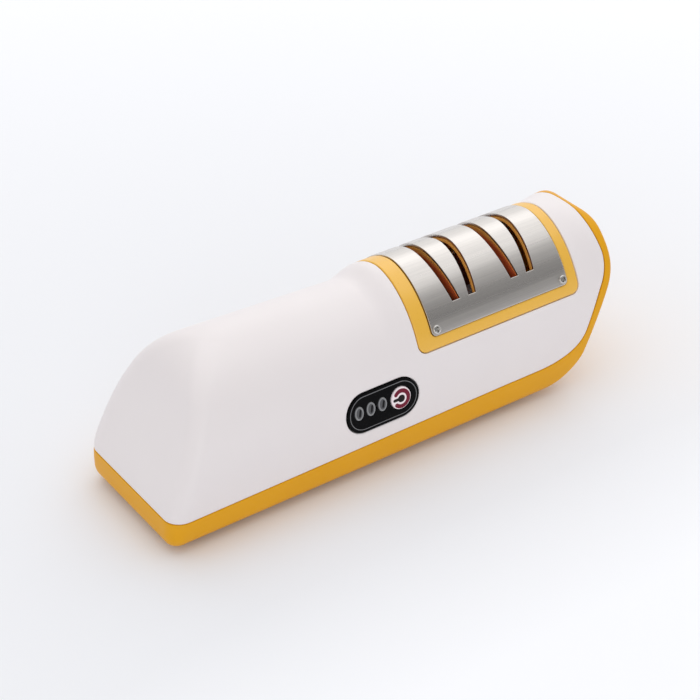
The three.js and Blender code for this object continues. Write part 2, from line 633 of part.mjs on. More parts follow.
// Yellow guide frame: a saddle over the head whose ribs lead the blade on to the wheels
const stages = [stageFineX, stageCoarseX];
const plateStartX = frameStartX + PLATE_BORDER;
const plateEndX = frameEndX - PLATE_END_BORDER;
const plateWindow = (grow) => acrossY(roundRect(
  plateStartX - grow, plateEndX + grow, plateBottom - grow, aboveTop, PLATE_CORNER + grow,
), -WIDTH, WIDTH);
function slotCut(stage, side) {
  const depth = HEIGHT + OVER - slotFloor;
  const shape = new THREE.Shape();
  const lower = stage + side * SLOT_SPACING / 2;
  const upper = lower + side * slotTiltTan * depth;
  shape.moveTo(lower - SLOT_WIDTH / 2, slotFloor);
  shape.lineTo(lower + SLOT_WIDTH / 2, slotFloor);
  shape.lineTo(upper + SLOT_WIDTH / 2, slotFloor + depth);
  shape.lineTo(upper - SLOT_WIDTH / 2, slotFloor + depth);
  return acrossY(shape, -WIDTH, WIDTH);
}
const slots = stages.flatMap((stage) => [slotCut(stage, -1), slotCut(stage, 1)]);
const frameInner = bodyForm(frameDepth);
const frameSaddle = bodyForm(-FRAME_PROUD).intersect(frameWindow(0)).subtract(frameInner);
const frameFlange = bodyForm(WALL + FIT).intersect(frameWindow(FRAME_FLANGE)).subtract(frameInner);
const guideHalfWidth = WIDTH / 2 - GUIDE_SIDE_INSET;
const guideBottom = HEIGHT - GUIDE_DEPTH;
const guideBlocks = stages.map((x) => block(
  x - GUIDE_HALF_LENGTH, x + GUIDE_HALF_LENGTH, -guideHalfWidth, guideHalfWidth, guideBottom, HEIGHT,
).intersect(bodyForm(WALL)));
const pocketHalf = WHEEL_FACE_HALF + POCKET_RUN;
const wheelPockets = stages.map((x) => barX(
  WHEEL_RADIUS + POCKET_RUN, x - pocketHalf, x + pocketHalf, 0, shaftZ, FINE_SIDES,
));
const plateSeat = plateWindow(FIT).subtract(bodyForm(PLATE_SINK + PLATE_THICKNESS + FIT - FRAME_PROUD));
const plateScrewZ = plateBottom + PLATE_SCREW_INSET;
const plateScrewX = [plateStartX + PLATE_SCREW_INSET, plateEndX - PLATE_SCREW_INSET];
const plateFace = archSide(stageFineX, plateScrewZ, PLATE_SINK - FRAME_PROUD);
const seatScrew = (geometry, x, side) => {
  const turn = side < 0 ? -plateFace.tilt : Math.PI + plateFace.tilt;
  return solid(geometry.rotateX(turn).translate(x, side * plateFace.y, plateScrewZ));
};
const screwSites = [-1, 1].flatMap((side) => plateScrewX.map((x) => [x, side]));
const screwHole = (radius, depth) => screwSites.map(([x, side]) => seatScrew(
  new THREE.CylinderGeometry(radius, radius, depth * 2, SMALL_SIDES), x, side,
));
const frameHoles = screwHole(PLATE_SCREW_RADIUS + FIT, PLATE_SCREW_LENGTH + PLATE_THICKNESS + FIT);
const guideFrame = cut(
  join(frameSaddle, frameFlange, ...guideBlocks),
  plateSeat, ...wheelPockets, ...slots, ...frameHoles,
);
place('guide_frame', guideFrame, yellowShell);

// Stainless cover plate, bent over the frame
const platePiece = cut(
  bodyForm(PLATE_SINK - FRAME_PROUD).intersect(plateWindow(0))
    .subtract(bodyForm(PLATE_SINK + PLATE_THICKNESS - FRAME_PROUD)),
  ...slots, ...screwHole(PLATE_SCREW_RADIUS + FIT, PLATE_THICKNESS * 2),
);
place('guide_plate', platePiece, steelPlate);

// Small pan-head screws of the cover plate, square to its face
screwSites.forEach(([x, side], k) => {
  const crown = FIT + PLATE_SCREW_HEAD_HEIGHT;
  const profile = [
    [0, PLATE_SCREW_LENGTH], [PLATE_SCREW_RADIUS, PLATE_SCREW_LENGTH], [PLATE_SCREW_RADIUS, -FIT],
    [PLATE_SCREW_HEAD, -FIT],
    ...PLATE_SCREW_DOME_SHARES.map(([r, h]) => [PLATE_SCREW_HEAD * r, -crown * h]), [0, -crown],
  ];
  const geometry = turned(profile.reverse(), SMALL_SIDES);
  place(`plate_screw_${k + 1}`, seatScrew(geometry, x, side), screwSteel);
});

// Grinding wheels: double cones with a hub, one between the slots of each pair
const shaftRadius = SHAFT_DIAMETER / 2;
const wheelProfile = [
  [shaftRadius + FIT, -HUB_HALF], [HUB_RADIUS, -HUB_HALF], [HUB_RADIUS, -WHEEL_FACE_HALF],
  [WHEEL_RADIUS - WHEEL_CONE_DEPTH, -WHEEL_FACE_HALF], [WHEEL_RADIUS, -WHEEL_RIM_HALF],
  [WHEEL_RADIUS, WHEEL_RIM_HALF], [WHEEL_RADIUS - WHEEL_CONE_DEPTH, WHEEL_FACE_HALF],
  [HUB_RADIUS, WHEEL_FACE_HALF], [HUB_RADIUS, HUB_HALF], [shaftRadius + FIT, HUB_HALF],
  [shaftRadius + FIT, -HUB_HALF],
];
place('wheel_fine', turnedX(wheelProfile, stageFineX, 0, shaftZ, FINE_SIDES), greyAbrasive);
place('wheel_coarse', turnedX(wheelProfile, stageCoarseX, 0, shaftZ, FINE_SIDES), redAbrasive);

// Drive shaft with the spacer and lock nut that hold the wheels on it
const shaftStartX = couplingX + COUPLING_LENGTH / 2;
const shaftEndX = bracketCoarseX + BRACKET_THICKNESS + FIT;
place('drive_shaft', barX(shaftRadius, shaftStartX, shaftEndX, 0, shaftZ), zincSteel);
place('wheel_spacer', turnedX(ring(
  shaftRadius + FIT, SPACER_RADIUS, stageFineX + HUB_HALF + FIT, stageCoarseX - HUB_HALF - FIT,
), 0, 0, shaftZ), zincSteel);
const nutBody = turnedX([[0, 0], [NUT_FLATS / Math.sqrt(3), 0], [NUT_FLATS / Math.sqrt(3), NUT_THICKNESS],
  [0, NUT_THICKNESS]], nutX, 0, shaftZ, 6);
place('shaft_nut', nutBody.subtract(barX(shaftRadius + FIT, 0, LENGTH, 0, shaftZ)), zincSteel);

// Bearing brackets with flanged bronze bushes
const eyeTangent = Math.acos(BRACKET_EYE / BRACKET_FOOT_HALF);
function bracketAt(x) {
  const web = new THREE.Shape();
  web.moveTo(-BRACKET_FOOT_HALF, BRACKET_SEAT_Z);
  web.lineTo(BRACKET_FOOT_HALF, BRACKET_SEAT_Z);
  web.lineTo(BRACKET_FOOT_HALF, BRACKET_SEAT_Z + BRACKET_FOOT_THICKNESS);
  web.absarc(0, shaftZ, BRACKET_EYE, -eyeTangent / 3, Math.PI + eyeTangent / 3);
  web.lineTo(-BRACKET_FOOT_HALF, BRACKET_SEAT_Z + BRACKET_FOOT_THICKNESS);
  const foot = block(
    x + BRACKET_THICKNESS - BRACKET_FOOT_LENGTH, x + BRACKET_THICKNESS / 2,
    -BRACKET_FOOT_HALF, BRACKET_FOOT_HALF, BRACKET_SEAT_Z, BRACKET_SEAT_Z + BRACKET_FOOT_THICKNESS,
  );
  return join(alongX(web, x, x + BRACKET_THICKNESS), foot)
    .subtract(barX(BUSH_RADIUS + FIT, x - OVER, x + BRACKET_THICKNESS + OVER, 0, shaftZ));
}
for (const [side, x] of Object.entries(bracketPlaces)) {
  place(`bearing_bracket_${side}`, bracketAt(x), zincSteel);
  const bore = shaftRadius + RUN;
  const [f0, f1] = [-FIT - BUSH_FLANGE, -FIT];
  place(`bush_${side}`, turnedX([
    [bore, f0], [BUSH_RADIUS + BUSH_FLANGE * 2, f0], [BUSH_RADIUS + BUSH_FLANGE * 2, f1], [BUSH_RADIUS, f1],
    [BUSH_RADIUS, BRACKET_THICKNESS], [bore, BRACKET_THICKNESS], [bore, f0],
  ], x, 0, shaftZ), bronze);
}

// Motor: drawn steel can with two flats, moulded end cap, and its shaft in the coupling
const canStartX = motorStartX + MOTOR_CAP_LENGTH + FIT;
function motorOutline(radius, flat) {
  const corner = Math.acos(flat / radius);
  const shape = new THREE.Shape();
  shape.absarc(0, 0, radius, corner, Math.PI - corner);
  shape.absarc(0, 0, radius, Math.PI + corner, -corner);
  return shape;
}
const bore = (radius, x0, x1) => barX(radius, x0, x1, 0, shaftZ, SMALL_SIDES);
const lift = (part) => part.translate([0, 0, shaftZ]);
const motorCan = cut(join(
  lift(alongX(motorOutline(MOTOR_RADIUS, MOTOR_FLAT_HALF), canStartX, motorEndX)),
  bore(MOTOR_NOSE_RADIUS, motorEndX - WALL, motorEndX + MOTOR_NOSE_LENGTH),
), bore(MOTOR_SHAFT_RADIUS + RUN, canStartX - OVER, motorEndX + OVER));
place('motor_can', motorCan, zincSteel);
const capTerminals = [-1, 1].map((side) => block(
  motorStartX - MOTOR_TERMINAL, motorStartX + RIB, -RIB / 2, RIB / 2,
  shaftZ + side * MOTOR_RADIUS / 3 - TAB_THICKNESS, shaftZ + side * MOTOR_RADIUS / 3 + TAB_THICKNESS,
));
const motorCap = cut(join(
  lift(alongX(motorOutline(MOTOR_RADIUS - FIT, MOTOR_FLAT_HALF - FIT), motorStartX, canStartX - FIT)),
  bore(MOTOR_NOSE_RADIUS, motorStartX - MOTOR_NOSE_LENGTH, motorStartX + WALL), ...capTerminals,
), bore(MOTOR_SHAFT_RADIUS + RUN, motorStartX, canStartX + OVER));
place('motor_end_cap', motorCap, blackNylon);
place('motor_shaft', bore(MOTOR_SHAFT_RADIUS, motorStartX + RIB, shaftStartX - FIT), zincSteel);
place('shaft_coupling', turnedX([
  [MOTOR_SHAFT_RADIUS + FIT, 0], [COUPLING_RADIUS, 0], [COUPLING_RADIUS, COUPLING_LENGTH],
  [shaftRadius + FIT, COUPLING_LENGTH], [shaftRadius + FIT, COUPLING_LENGTH / 2 - FIT],
  [MOTOR_SHAFT_RADIUS + FIT, COUPLING_LENGTH / 2 - FIT], [MOTOR_SHAFT_RADIUS + FIT, 0],
], couplingX, 0, shaftZ), blackNylon);

// Motor cradle on the tray floor, with a sheet strap over the can
const cradleHalfWidth = MOTOR_FLAT_HALF + FIT + CRADLE_WALL;
const cradleX0 = (canStartX + motorEndX - CRADLE_LENGTH) / 2;
const cradleX1 = cradleX0 + CRADLE_LENGTH;
const cradleFoot = trayFloorZ + FIT;
const cradleOutline = new THREE.Shape();
cradleOutline.moveTo(-cradleHalfWidth, cradleFoot);
cradleOutline.lineTo(cradleHalfWidth, cradleFoot);
cradleOutline.lineTo(cradleHalfWidth, shaftZ);
cradleOutline.lineTo(-cradleHalfWidth, shaftZ);
const cradleOpening = block(
  -LENGTH, LENGTH, -cradleHalfWidth + CRADLE_WALL, cradleHalfWidth - CRADLE_WALL,
  cradleFoot + RIB, shaftZ - MOTOR_RADIUS - RIB * 2,
);
place('motor_cradle', cut(
  alongX(cradleOutline, cradleX0, cradleX1),
  lift(alongX(motorOutline(MOTOR_RADIUS + FIT, MOTOR_FLAT_HALF + FIT), -LENGTH, LENGTH)), cradleOpening,
), blackNylon);
const strapX = (cradleX0 + cradleX1) / 2;
const strapBand = (grow) => lift(alongX(
  motorOutline(MOTOR_RADIUS + grow, MOTOR_FLAT_HALF + grow),
  strapX - STRAP_LENGTH / 2, strapX + STRAP_LENGTH / 2,
));
const strapTabs = block(
  strapX - STRAP_LENGTH / 2, strapX + STRAP_LENGTH / 2, -cradleHalfWidth, cradleHalfWidth,
  shaftZ + FIT, shaftZ + FIT + STRAP_THICKNESS,
);
place('motor_strap', join(strapBand(FIT + STRAP_THICKNESS).intersect(
  block(-LENGTH, LENGTH, -WIDTH, WIDTH, shaftZ + FIT, HEIGHT),
), strapTabs).subtract(strapBand(FIT)), nickel);

// Rechargeable cell with a welded strip at each end
const cellRadius = CELL_DIAMETER / 2;
const cellEdge = RIB / 2;
place('battery_cell', turnedX([
  [0, 0], [cellRadius - cellEdge, 0], [cellRadius, cellEdge], [cellRadius, cellLength - cellEdge * 2],
  [cellRadius - cellEdge, cellLength - cellEdge], [cellRadius * CELL_CAP_SHARE, cellLength - cellEdge],
  [cellRadius * CELL_CAP_SHARE, cellLength], [0, cellLength],
], cellStartX, 0, cellZ), cellSleeve);
const cellTab = (x0) => block(
  x0, x0 + TAB_THICKNESS, -TAB_WIDTH / 2, TAB_WIDTH / 2, cellZ - cellRadius / 2, cellZ + cellRadius / 2,
);
place('battery_tab_minus', cellTab(cellStartX - FIT - TAB_THICKNESS), nickel);
place('battery_tab_plus', cellTab(cellEndX + FIT), nickel);

// Control panel let into the near side, with its lenses and push button
const panelFace = acrossY(stadium(panelX, panelZ, PANEL_LENGTH, PANEL_HEIGHT), nearReach, 0, 5)
  .intersect(bodyForm(-PANEL_PROUD)).subtract(bodyForm(PANEL_THICKNESS - PANEL_PROUD));
place('control_panel', cut(panelFace, buttonHole, ...lensHoles), blackPanel);
const powerButton = join(
  barY(BUTTON_RADIUS, buttonX, nearReach, flangeBackY, panelZ).intersect(bodyForm(-BUTTON_PROUD)),
  barY(flangeRadius, buttonX, flangeFrontY, flangeBackY, panelZ),
);
place('power_button', powerButton, buttonFace);
[0, 1, 2].forEach((k) => {
  const lens = acrossY(stadium(lensX(k), panelZ, lensWidth, LENS_HEIGHT), nearReach, padBack(panelZ));
  place(`indicator_lens_${k + 1}`, lens.intersect(bodyForm(-PANEL_PROUD)), smokedLens);
  const ledX = lensX(k);
  place(`led_${k + 1}`, block(
    ledX - LED_SIZE / 2, ledX + LED_SIZE / 2, boardFaceY - FIT - LED_HEIGHT, boardFaceY - FIT,
    panelZ - LED_SIZE / 2, panelZ + LED_SIZE / 2,
  ), clearLed);
});

// Control board on two pins of the shell, and the push switch behind the button
const boardTop = boardPinZ + BOARD_POST_RADIUS;
const controlBoard = cut(
  block(panelX - BOARD_LENGTH / 2, panelX + BOARD_LENGTH / 2, boardFaceY, boardFaceY + BOARD_THICKNESS,
    boardTop - BOARD_HEIGHT, boardTop),
  ...boardPinX.map((x) => barY(BOARD_PIN_RADIUS + FIT, x, boardFaceY - OVER, 0, boardPinZ, SMALL_SIDES)),
);
place('control_board', controlBoard, greenBoard);
place('tact_switch', cut(
  block(buttonX - SWITCH_SIZE / 2, buttonX + SWITCH_SIZE / 2, switchTopY, boardFaceY - FIT,
    panelZ - SWITCH_SIZE / 2, panelZ + SWITCH_SIZE / 2),
  barY(PLUNGER_RADIUS + FIT, buttonX, nearReach, switchTopY + BUTTON_TRAVEL + FIT * 2, panelZ, SMALL_SIDES),
), blackNylon);
place('switch_plunger', barY(
  PLUNGER_RADIUS, buttonX, flangeBackY + FIT, switchTopY + FIT, panelZ, SMALL_SIDES,
), blackNylon);

// Charging board on the tray floor with its socket in the rear wall
place('charging_board', cut(
  block(chargeX - CHARGE_BOARD_LENGTH / 2, chargeX + CHARGE_BOARD_LENGTH / 2,
    chargeY0, chargeY1, CHARGE_BOARD_Z, CHARGE_BOARD_Z + BOARD_THICKNESS),
  ...chargePinX.map((x) => barZ(BOARD_PIN_RADIUS + FIT, x, chargePinY, 0, HEIGHT, SMALL_SIDES)),
), greenBoard);
const socketY1 = trayHalfWidth(socketZ) - FIT;
const socketShape = (shrink, y0, y1) => acrossY(
  stadium(chargeX, socketZ, SOCKET_WIDTH - shrink * 2, SOCKET_HEIGHT - shrink * 2), y0, y1,
);
place('charging_socket', join(
  socketShape(0, socketY1 - SOCKET_DEPTH, socketY1)
    .subtract(socketShape(SOCKET_SHEET, socketY1 - SOCKET_DEPTH + SOCKET_SHEET * 2, socketY1 + OVER)),
  block(chargeX - SOCKET_WIDTH / 3, chargeX + SOCKET_WIDTH / 3,
    socketY1 - SOCKET_DEPTH + SOCKET_SHEET, socketY1 - SOCKET_SHEET * 3,
    socketZ - SOCKET_SHEET, socketZ + SOCKET_SHEET),
), nickel);

// Rubber feet and the screws that hold the tray to the shell
footPlaces.forEach(([x, y], k) => {
  const top = FOOT_LIFT + FOOT_RECESS - FIT;
  place(`rubber_foot_${k + 1}`, turnedZ([
    [0, 0], [FOOT_RADIUS - FOOT_RECESS, 0], [FOOT_RADIUS, FOOT_RECESS], [FOOT_RADIUS, top], [0, top],
  ], x, y, 0), rubber);
});
screwPlaces.forEach(([x, y], k) => {
  const under = screwSeatZ - FIT;
  const tip = bossZ + BASE_SCREW_GRIP;
  place(`base_screw_${k + 1}`, join(
    barZ(BASE_SCREW_HEAD, x, y, under - BASE_SCREW_HEAD_HEIGHT, under, SMALL_SIDES),
    barZ(BASE_SCREW_RADIUS, x, y, under - BASE_SCREW_HEAD_HEIGHT / 2, tip, SMALL_SIDES),
  ), screwSteel);
});

export default sharpener;
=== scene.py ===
"""A cordless electric knife sharpener: white and yellow moulded housing, steel cover plate over two
driven abrasive wheels, and a black side panel with a push button. Sizes here are in millimetres, and
every mesh goes to Blender in metres, in the frame of the CAD: X from the handle to the head, the panel
on the -Y side, and the feet on Z = 0."""
import math

import bmesh
import bpy
import numpy as np
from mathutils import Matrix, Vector


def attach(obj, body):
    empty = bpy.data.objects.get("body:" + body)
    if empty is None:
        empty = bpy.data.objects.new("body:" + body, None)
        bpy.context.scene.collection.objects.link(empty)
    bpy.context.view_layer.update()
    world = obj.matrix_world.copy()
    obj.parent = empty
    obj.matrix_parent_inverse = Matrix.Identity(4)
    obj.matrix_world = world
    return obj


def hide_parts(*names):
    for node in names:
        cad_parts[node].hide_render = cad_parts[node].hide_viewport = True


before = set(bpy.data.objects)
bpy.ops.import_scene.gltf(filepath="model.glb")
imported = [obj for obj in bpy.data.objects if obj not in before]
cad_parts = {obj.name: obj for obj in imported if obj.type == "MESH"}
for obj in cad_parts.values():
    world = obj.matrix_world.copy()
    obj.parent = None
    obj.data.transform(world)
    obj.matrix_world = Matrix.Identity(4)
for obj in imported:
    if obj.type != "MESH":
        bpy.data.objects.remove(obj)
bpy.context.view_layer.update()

MM = 0.001

# Camera: at the photograph's angle, above the panel side and towards the handle end, with a long
# lens. The small shift is the photograph's framing.
CAMERA_AZIMUTH, CAMERA_ELEVATION = math.radians(-35.41), math.radians(33.70)
CAMERA_DISTANCE = 624.44
CAMERA_TARGET = Vector((0, 0, 30))
camera = bpy.data.objects.new("camera", bpy.data.cameras.new("camera"))
bpy.context.scene.collection.objects.link(camera)
camera_back = Vector((
    math.sin(CAMERA_AZIMUTH) * math.cos(CAMERA_ELEVATION),
    -math.cos(CAMERA_AZIMUTH) * math.cos(CAMERA_ELEVATION), math.sin(CAMERA_ELEVATION)))
camera.location = (CAMERA_TARGET + camera_back * CAMERA_DISTANCE) * MM
camera.rotation_euler = camera_back.to_track_quat("Z", "Y").to_euler()
camera.data.sensor_width = 36
camera.data.lens = 96.40
camera.data.shift_x, camera.data.shift_y = -0.01556, -0.00331
camera.data.clip_start, camera.data.clip_end = 0.01, 20
bpy.context.scene.camera = camera

# White housing: one injection-moulded ABS shell, 2 mm thick and open below. It is a smooth arch
# over the handle and the head, with a leaning, rounded handle end and a low collar before the head.
# Its openings take the guide frame and the control panel.
LENGTH, WIDTH, HEIGHT = 180, 55, 60
FOOT_LIFT, SEAM_Z, UNDER_ROUND = 2, 14, 4
WALL, FIT, EDGE = 2, 0.3, 0.35
HANDLE_CROWN, WAIST_CROWN, HEAD_CROWN = 58.6, 56.2, 59.7
RIDGE_X, COLLAR_START, COLLAR_END = -60, -4, 5.5
ARCH_SHOULDER, ARCH_CROWN = 2.4, 1.8
END_LEAN = 0.48
SIDE_DRAFT, HANDLE_CORNER, HEAD_CORNER = 1.5, 6, 2
HANDLE_TOP_ROUND, HANDLE_TURN = 17, 0.75
HEAD_ROUND_ALONG, HEAD_ROUND_DOWN = 8, 5
HEAD_KNEE, UNDERSIDE_END, HEAD_SWEEP, HEAD_SWEEP_Z = 6, 50, 0.52, 8
HEAD_KNEE_Z = SEAM_Z + (HEAD_CROWN - SEAM_Z) * 0.61
END_X, BELOW_LEAN, ABOVE_LEAN = LENGTH / 2, 6, 4
HEAD_FULL_FROM, HEAD_DROP, HEAD_SHOULDER, HEAD_CROWN_TURN = 76, 1.2, 2.8, 2.3
SEAM_DROP, SEAM_LEVEL_FROM, SEAM_TURN, SEAM_SWEEP = 1.4, 40, 9, 1.5
END_WALL, KNEE_WALL, CROWN_WALL = 4.4, 4.4 * 0.8, 4.4 * 1.15
OUTSIDE_X, OUTSIDE_Z = -120, 75
FRAME_X, FRAME_BOTTOM, FRAME_CORNER = (6.6, 74.4), 37.6, 3
PANEL_AT, PANEL_SIZE = (-10.2, 26), (28.2, 13.6)


def crown_at(x):
    """Height of the ridge line: it dips along the handle, rises over the collar, and drops a little
    where the head turns down at its end."""
    handle = HANDLE_CROWN + (WAIST_CROWN - HANDLE_CROWN) / (COLLAR_START - RIDGE_X) * (x - RIDGE_X)
    t = np.clip((x - COLLAR_START) / (COLLAR_END - COLLAR_START), 0, 1)
    past = np.clip((x - HEAD_FULL_FROM) / (END_X - HEAD_FULL_FROM), 0, 1)
    return handle + (HEAD_CROWN - handle) * t * t * (3 - 2 * t) - HEAD_DROP * past ** 1.5


def bend(*corners):
    """Points on a Bezier curve through its corner points."""
    t = np.linspace(0, 1, 33)[:, None]
    n = len(corners) - 1
    return sum(math.comb(n, k) * t ** k * (1 - t) ** (n - k) * np.array(c) for k, c in enumerate(corners))


def lean(z):
    """How far the ends lean in from the seam to a height."""
    return END_LEAN * (z - SEAM_Z)


# Both ends in side view, as points (x, z) from the underside to the crown
TURN_Z = HANDLE_CROWN - HANDLE_TOP_ROUND * HANDLE_TURN
HANDLE_TOP_X = -END_X + lean(HANDLE_CROWN)
HANDLE_END = np.vstack([
    bend((-END_X + UNDER_ROUND, FOOT_LIFT), (-END_X + 0.3, FOOT_LIFT), (-END_X, FOOT_LIFT + UNDER_ROUND)),
    bend((-END_X, SEAM_Z - BELOW_LEAN), (-END_X, SEAM_Z),
         (-END_X + lean(SEAM_Z + ABOVE_LEAN), SEAM_Z + ABOVE_LEAN)),
    bend((-END_X + lean(TURN_Z), TURN_Z), (HANDLE_TOP_X, HANDLE_CROWN),
         (HANDLE_TOP_X + HANDLE_TOP_ROUND, HANDLE_CROWN))])
HEAD_SEAM_X = END_X - lean(HEAD_KNEE_Z)
HEAD_END = np.vstack([
    bend((UNDERSIDE_END, FOOT_LIFT),
         (UNDERSIDE_END + (HEAD_SEAM_X - UNDERSIDE_END) * HEAD_SWEEP, FOOT_LIFT),
         (HEAD_SEAM_X + lean(HEAD_SWEEP_Z), HEAD_SWEEP_Z), (HEAD_SEAM_X, SEAM_Z)),
    bend((END_X - END_LEAN * HEAD_KNEE, HEAD_KNEE_Z - HEAD_KNEE), (END_X, HEAD_KNEE_Z),
         (END_X, HEAD_KNEE_Z + HEAD_KNEE)),
    bend((END_X, HEAD_CROWN - HEAD_ROUND_DOWN), (END_X, HEAD_CROWN),
         (END_X - HEAD_ROUND_ALONG, HEAD_CROWN))])


def end_x(profile, z):
    """Where an end lies at a height."""
    return np.interp(z, profile[:, 1], profile[:, 0])


def tray_half(z):
    """Half width of the body below the seam: drafted sides with a round lower edge."""
    into = np.clip((FOOT_LIFT + UNDER_ROUND - z) / UNDER_ROUND, 0, 1)
    draft = SIDE_DRAFT * ((SEAM_Z - z) / (SEAM_Z - FOOT_LIFT)) ** 1.5
    return WIDTH / 2 - draft - UNDER_ROUND * (1 - math.sqrt(1 - into * into))


CORNER_POINTS, END_POINTS, HANDLE_POINTS, HEAD_POINTS = 9, 12, 25, 31


def plan_ring(x0, x1, half, round0, round1, stations):
    """Plan outline of one level, from the middle of the handle end round the near side and back."""
    r0, r1 = min(round0, half), min(round1, half)
    a = np.linspace(0, math.pi / 2, CORNER_POINTS)
    along = np.concatenate([
        np.linspace(x0 + r0, stations[0], HANDLE_POINTS)[1:], stations[1:-1],
        np.linspace(stations[-1], x1 - r1, HEAD_POINTS)])
    near = np.vstack([
        np.column_stack([np.full(END_POINTS, x0), np.linspace(0, half - r0, END_POINTS + 1)[:-1]]),
        np.column_stack([x0 + r0 * (1 - np.cos(a)), half - r0 * (1 - np.sin(a))]),
        np.column_stack([along, np.full(len(along), half)]),
        np.column_stack([x1 - r1 * (1 - np.sin(a)), half - r1 * (1 - np.cos(a))])[1:],
        np.column_stack([np.full(END_POINTS, x1), np.linspace(half - r1, 0, END_POINTS + 1)[1:]])])
    return np.vstack([near * (1, -1), near[-2:0:-1]])


def body_level(z, inset, stations):
    """The outline of the body at a height below the seam."""
    half = tray_half(z)
    ring = plan_ring(end_x(HANDLE_END, z) + inset, end_x(HEAD_END, z) - inset, half - inset,
                     max(HANDLE_CORNER - inset - (WIDTH / 2 - half), 1), HEAD_CORNER - inset / 2, stations)
    return np.column_stack([ring, np.full(len(ring), z)])


def arch_level(share, inset, stations):
    """The outline of the arch at a share of its height, which follows the ridge line and grows
    squarer towards the head's end."""
    angle = math.asin(share ** (ARCH_SHOULDER / 2))
    half = (WIDTH / 2 - inset) * max(math.cos(angle), 0) ** (2 / ARCH_CROWN) if share < 1 else 0
    ring = plan_ring(
        end_x(HANDLE_END, SEAM_Z + (HANDLE_CROWN - SEAM_Z) * share) + inset,
        end_x(HEAD_END, SEAM_Z + (HEAD_CROWN - SEAM_Z) * share) - inset,
        half, HANDLE_CORNER, HEAD_CORNER, stations)
    if share < 1:
        past = np.clip((ring[:, 0] - HEAD_FULL_FROM) / (END_X - HEAD_FULL_FROM), 0, 1)
        past = past * past * (3 - 2 * past)
        shoulder = ARCH_SHOULDER + (HEAD_SHOULDER - ARCH_SHOULDER) * past
        turn = ARCH_CROWN + (HEAD_CROWN_TURN - ARCH_CROWN) * past
        fuller = (1 - share ** shoulder) ** (1 / turn)
        ring[:, 1] *= fuller / (1 - share ** ARCH_SHOULDER) ** (1 / ARCH_CROWN)
    return np.column_stack([ring, SEAM_Z + (crown_at(ring[:, 0]) - inset - SEAM_Z) * share])


def side_y(x, z, inset):
    """Half width of the arch at a place in side view."""
    share = np.clip((z - SEAM_Z) / (crown_at(x) - inset - SEAM_Z), 0, 1)
    return (WIDTH / 2 - inset) * (1 - share ** ARCH_SHOULDER) ** (1 / ARCH_CROWN)


def in_outline(points, outline):
    """Signed distance from points to a closed outline in one plane, positive inside."""
    a, b = outline, np.roll(outline, -1, 0)
    p, ab = points[:, None, :], b - a
    t = np.clip(((p - a) * ab).sum(-1) / (ab * ab).sum(-1), 0, 1)
    near = np.linalg.norm(p - a - t[..., None] * ab, axis=-1).min(1)
    rise = np.where(ab[:, 1] == 0, 1, ab[:, 1])
    across = ((a[:, 1] > p[..., 1]) != (b[:, 1] > p[..., 1])) & (
        p[..., 0] < ab[:, 0] * (p[..., 1] - a[:, 1]) / rise + a[:, 0])
    return np.where(across.sum(1) % 2 == 1, near, -near)


def in_round_rect(x, z, centre, size, corner):
    """Signed distance inside a rectangle with round corners."""
    qx = np.abs(x - centre[0]) - (size[0] / 2 - corner)
    qz = np.abs(z - centre[1]) - (size[1] / 2 - corner)
    return corner - np.hypot(np.maximum(qx, 0), np.maximum(qz, 0)) - np.minimum(np.maximum(qx, qz), 0)


def in_window(x, z, x0, x1, bottom, corner, grow=0):
    """Signed distance inside a window over the head, open at its top."""
    size = (x1 - x0 + grow * 2, 40 + grow * 2)
    return in_round_rect(x, z, ((x0 + x1) / 2, bottom + 20), size, corner + grow)


def white_side(shift):
    """Side-view outline of the white housing, with the seam moved out of it by a shift. The seam
    falls towards the handle end, and at the head it turns up along the yellow end wall."""
    def wall_x(z):
        return end_x(HEAD_END, z) - END_WALL + shift
    seam = np.vstack([
        bend((wall_x(SEAM_Z) - SEAM_TURN * (END_LEAN + SEAM_SWEEP), SEAM_Z - shift),
             (wall_x(SEAM_Z), SEAM_Z - shift), (wall_x(SEAM_Z + SEAM_TURN), SEAM_Z + SEAM_TURN - shift)),
        bend((wall_x(HEAD_KNEE_Z - HEAD_KNEE), HEAD_KNEE_Z - HEAD_KNEE - shift),
             (END_X - KNEE_WALL + shift, HEAD_KNEE_Z - shift),
             (END_X - KNEE_WALL + shift, HEAD_KNEE_Z + HEAD_KNEE - shift)),
        [(END_X - END_WALL + shift, HEAD_CROWN - 3 - shift), (END_X - CROWN_WALL + shift, OUTSIDE_Z)]])
    fall = SEAM_DROP / (SEAM_LEVEL_FROM + END_X)
    handle = [(x, SEAM_Z - fall * (SEAM_LEVEL_FROM - x) - shift) for x in (OUTSIDE_X, SEAM_LEVEL_FROM)]
    return np.vstack([handle, seam, [(OUTSIDE_X, OUTSIDE_Z)]])


def grid_normals(grid, closed):
    """Outward directions on a grid of surface points whose rows may be closed rings. Where a row
    shrinks to a line, the direction of the row before it is taken."""
    if closed:
        along = np.roll(grid, -1, 1) - np.roll(grid, 1, 1)
    else:
        along = np.gradient(grid, axis=1)
    normals = np.cross(along, np.gradient(grid, axis=0))
    size = np.linalg.norm(normals, axis=-1, keepdims=True)
    normals = normals / np.maximum(size, 1e-12)
    for row in range(1, len(grid)):
        bad = size[row, :, 0] < 1e-9
        normals[row, bad] = normals[row - 1, bad]
    return normals


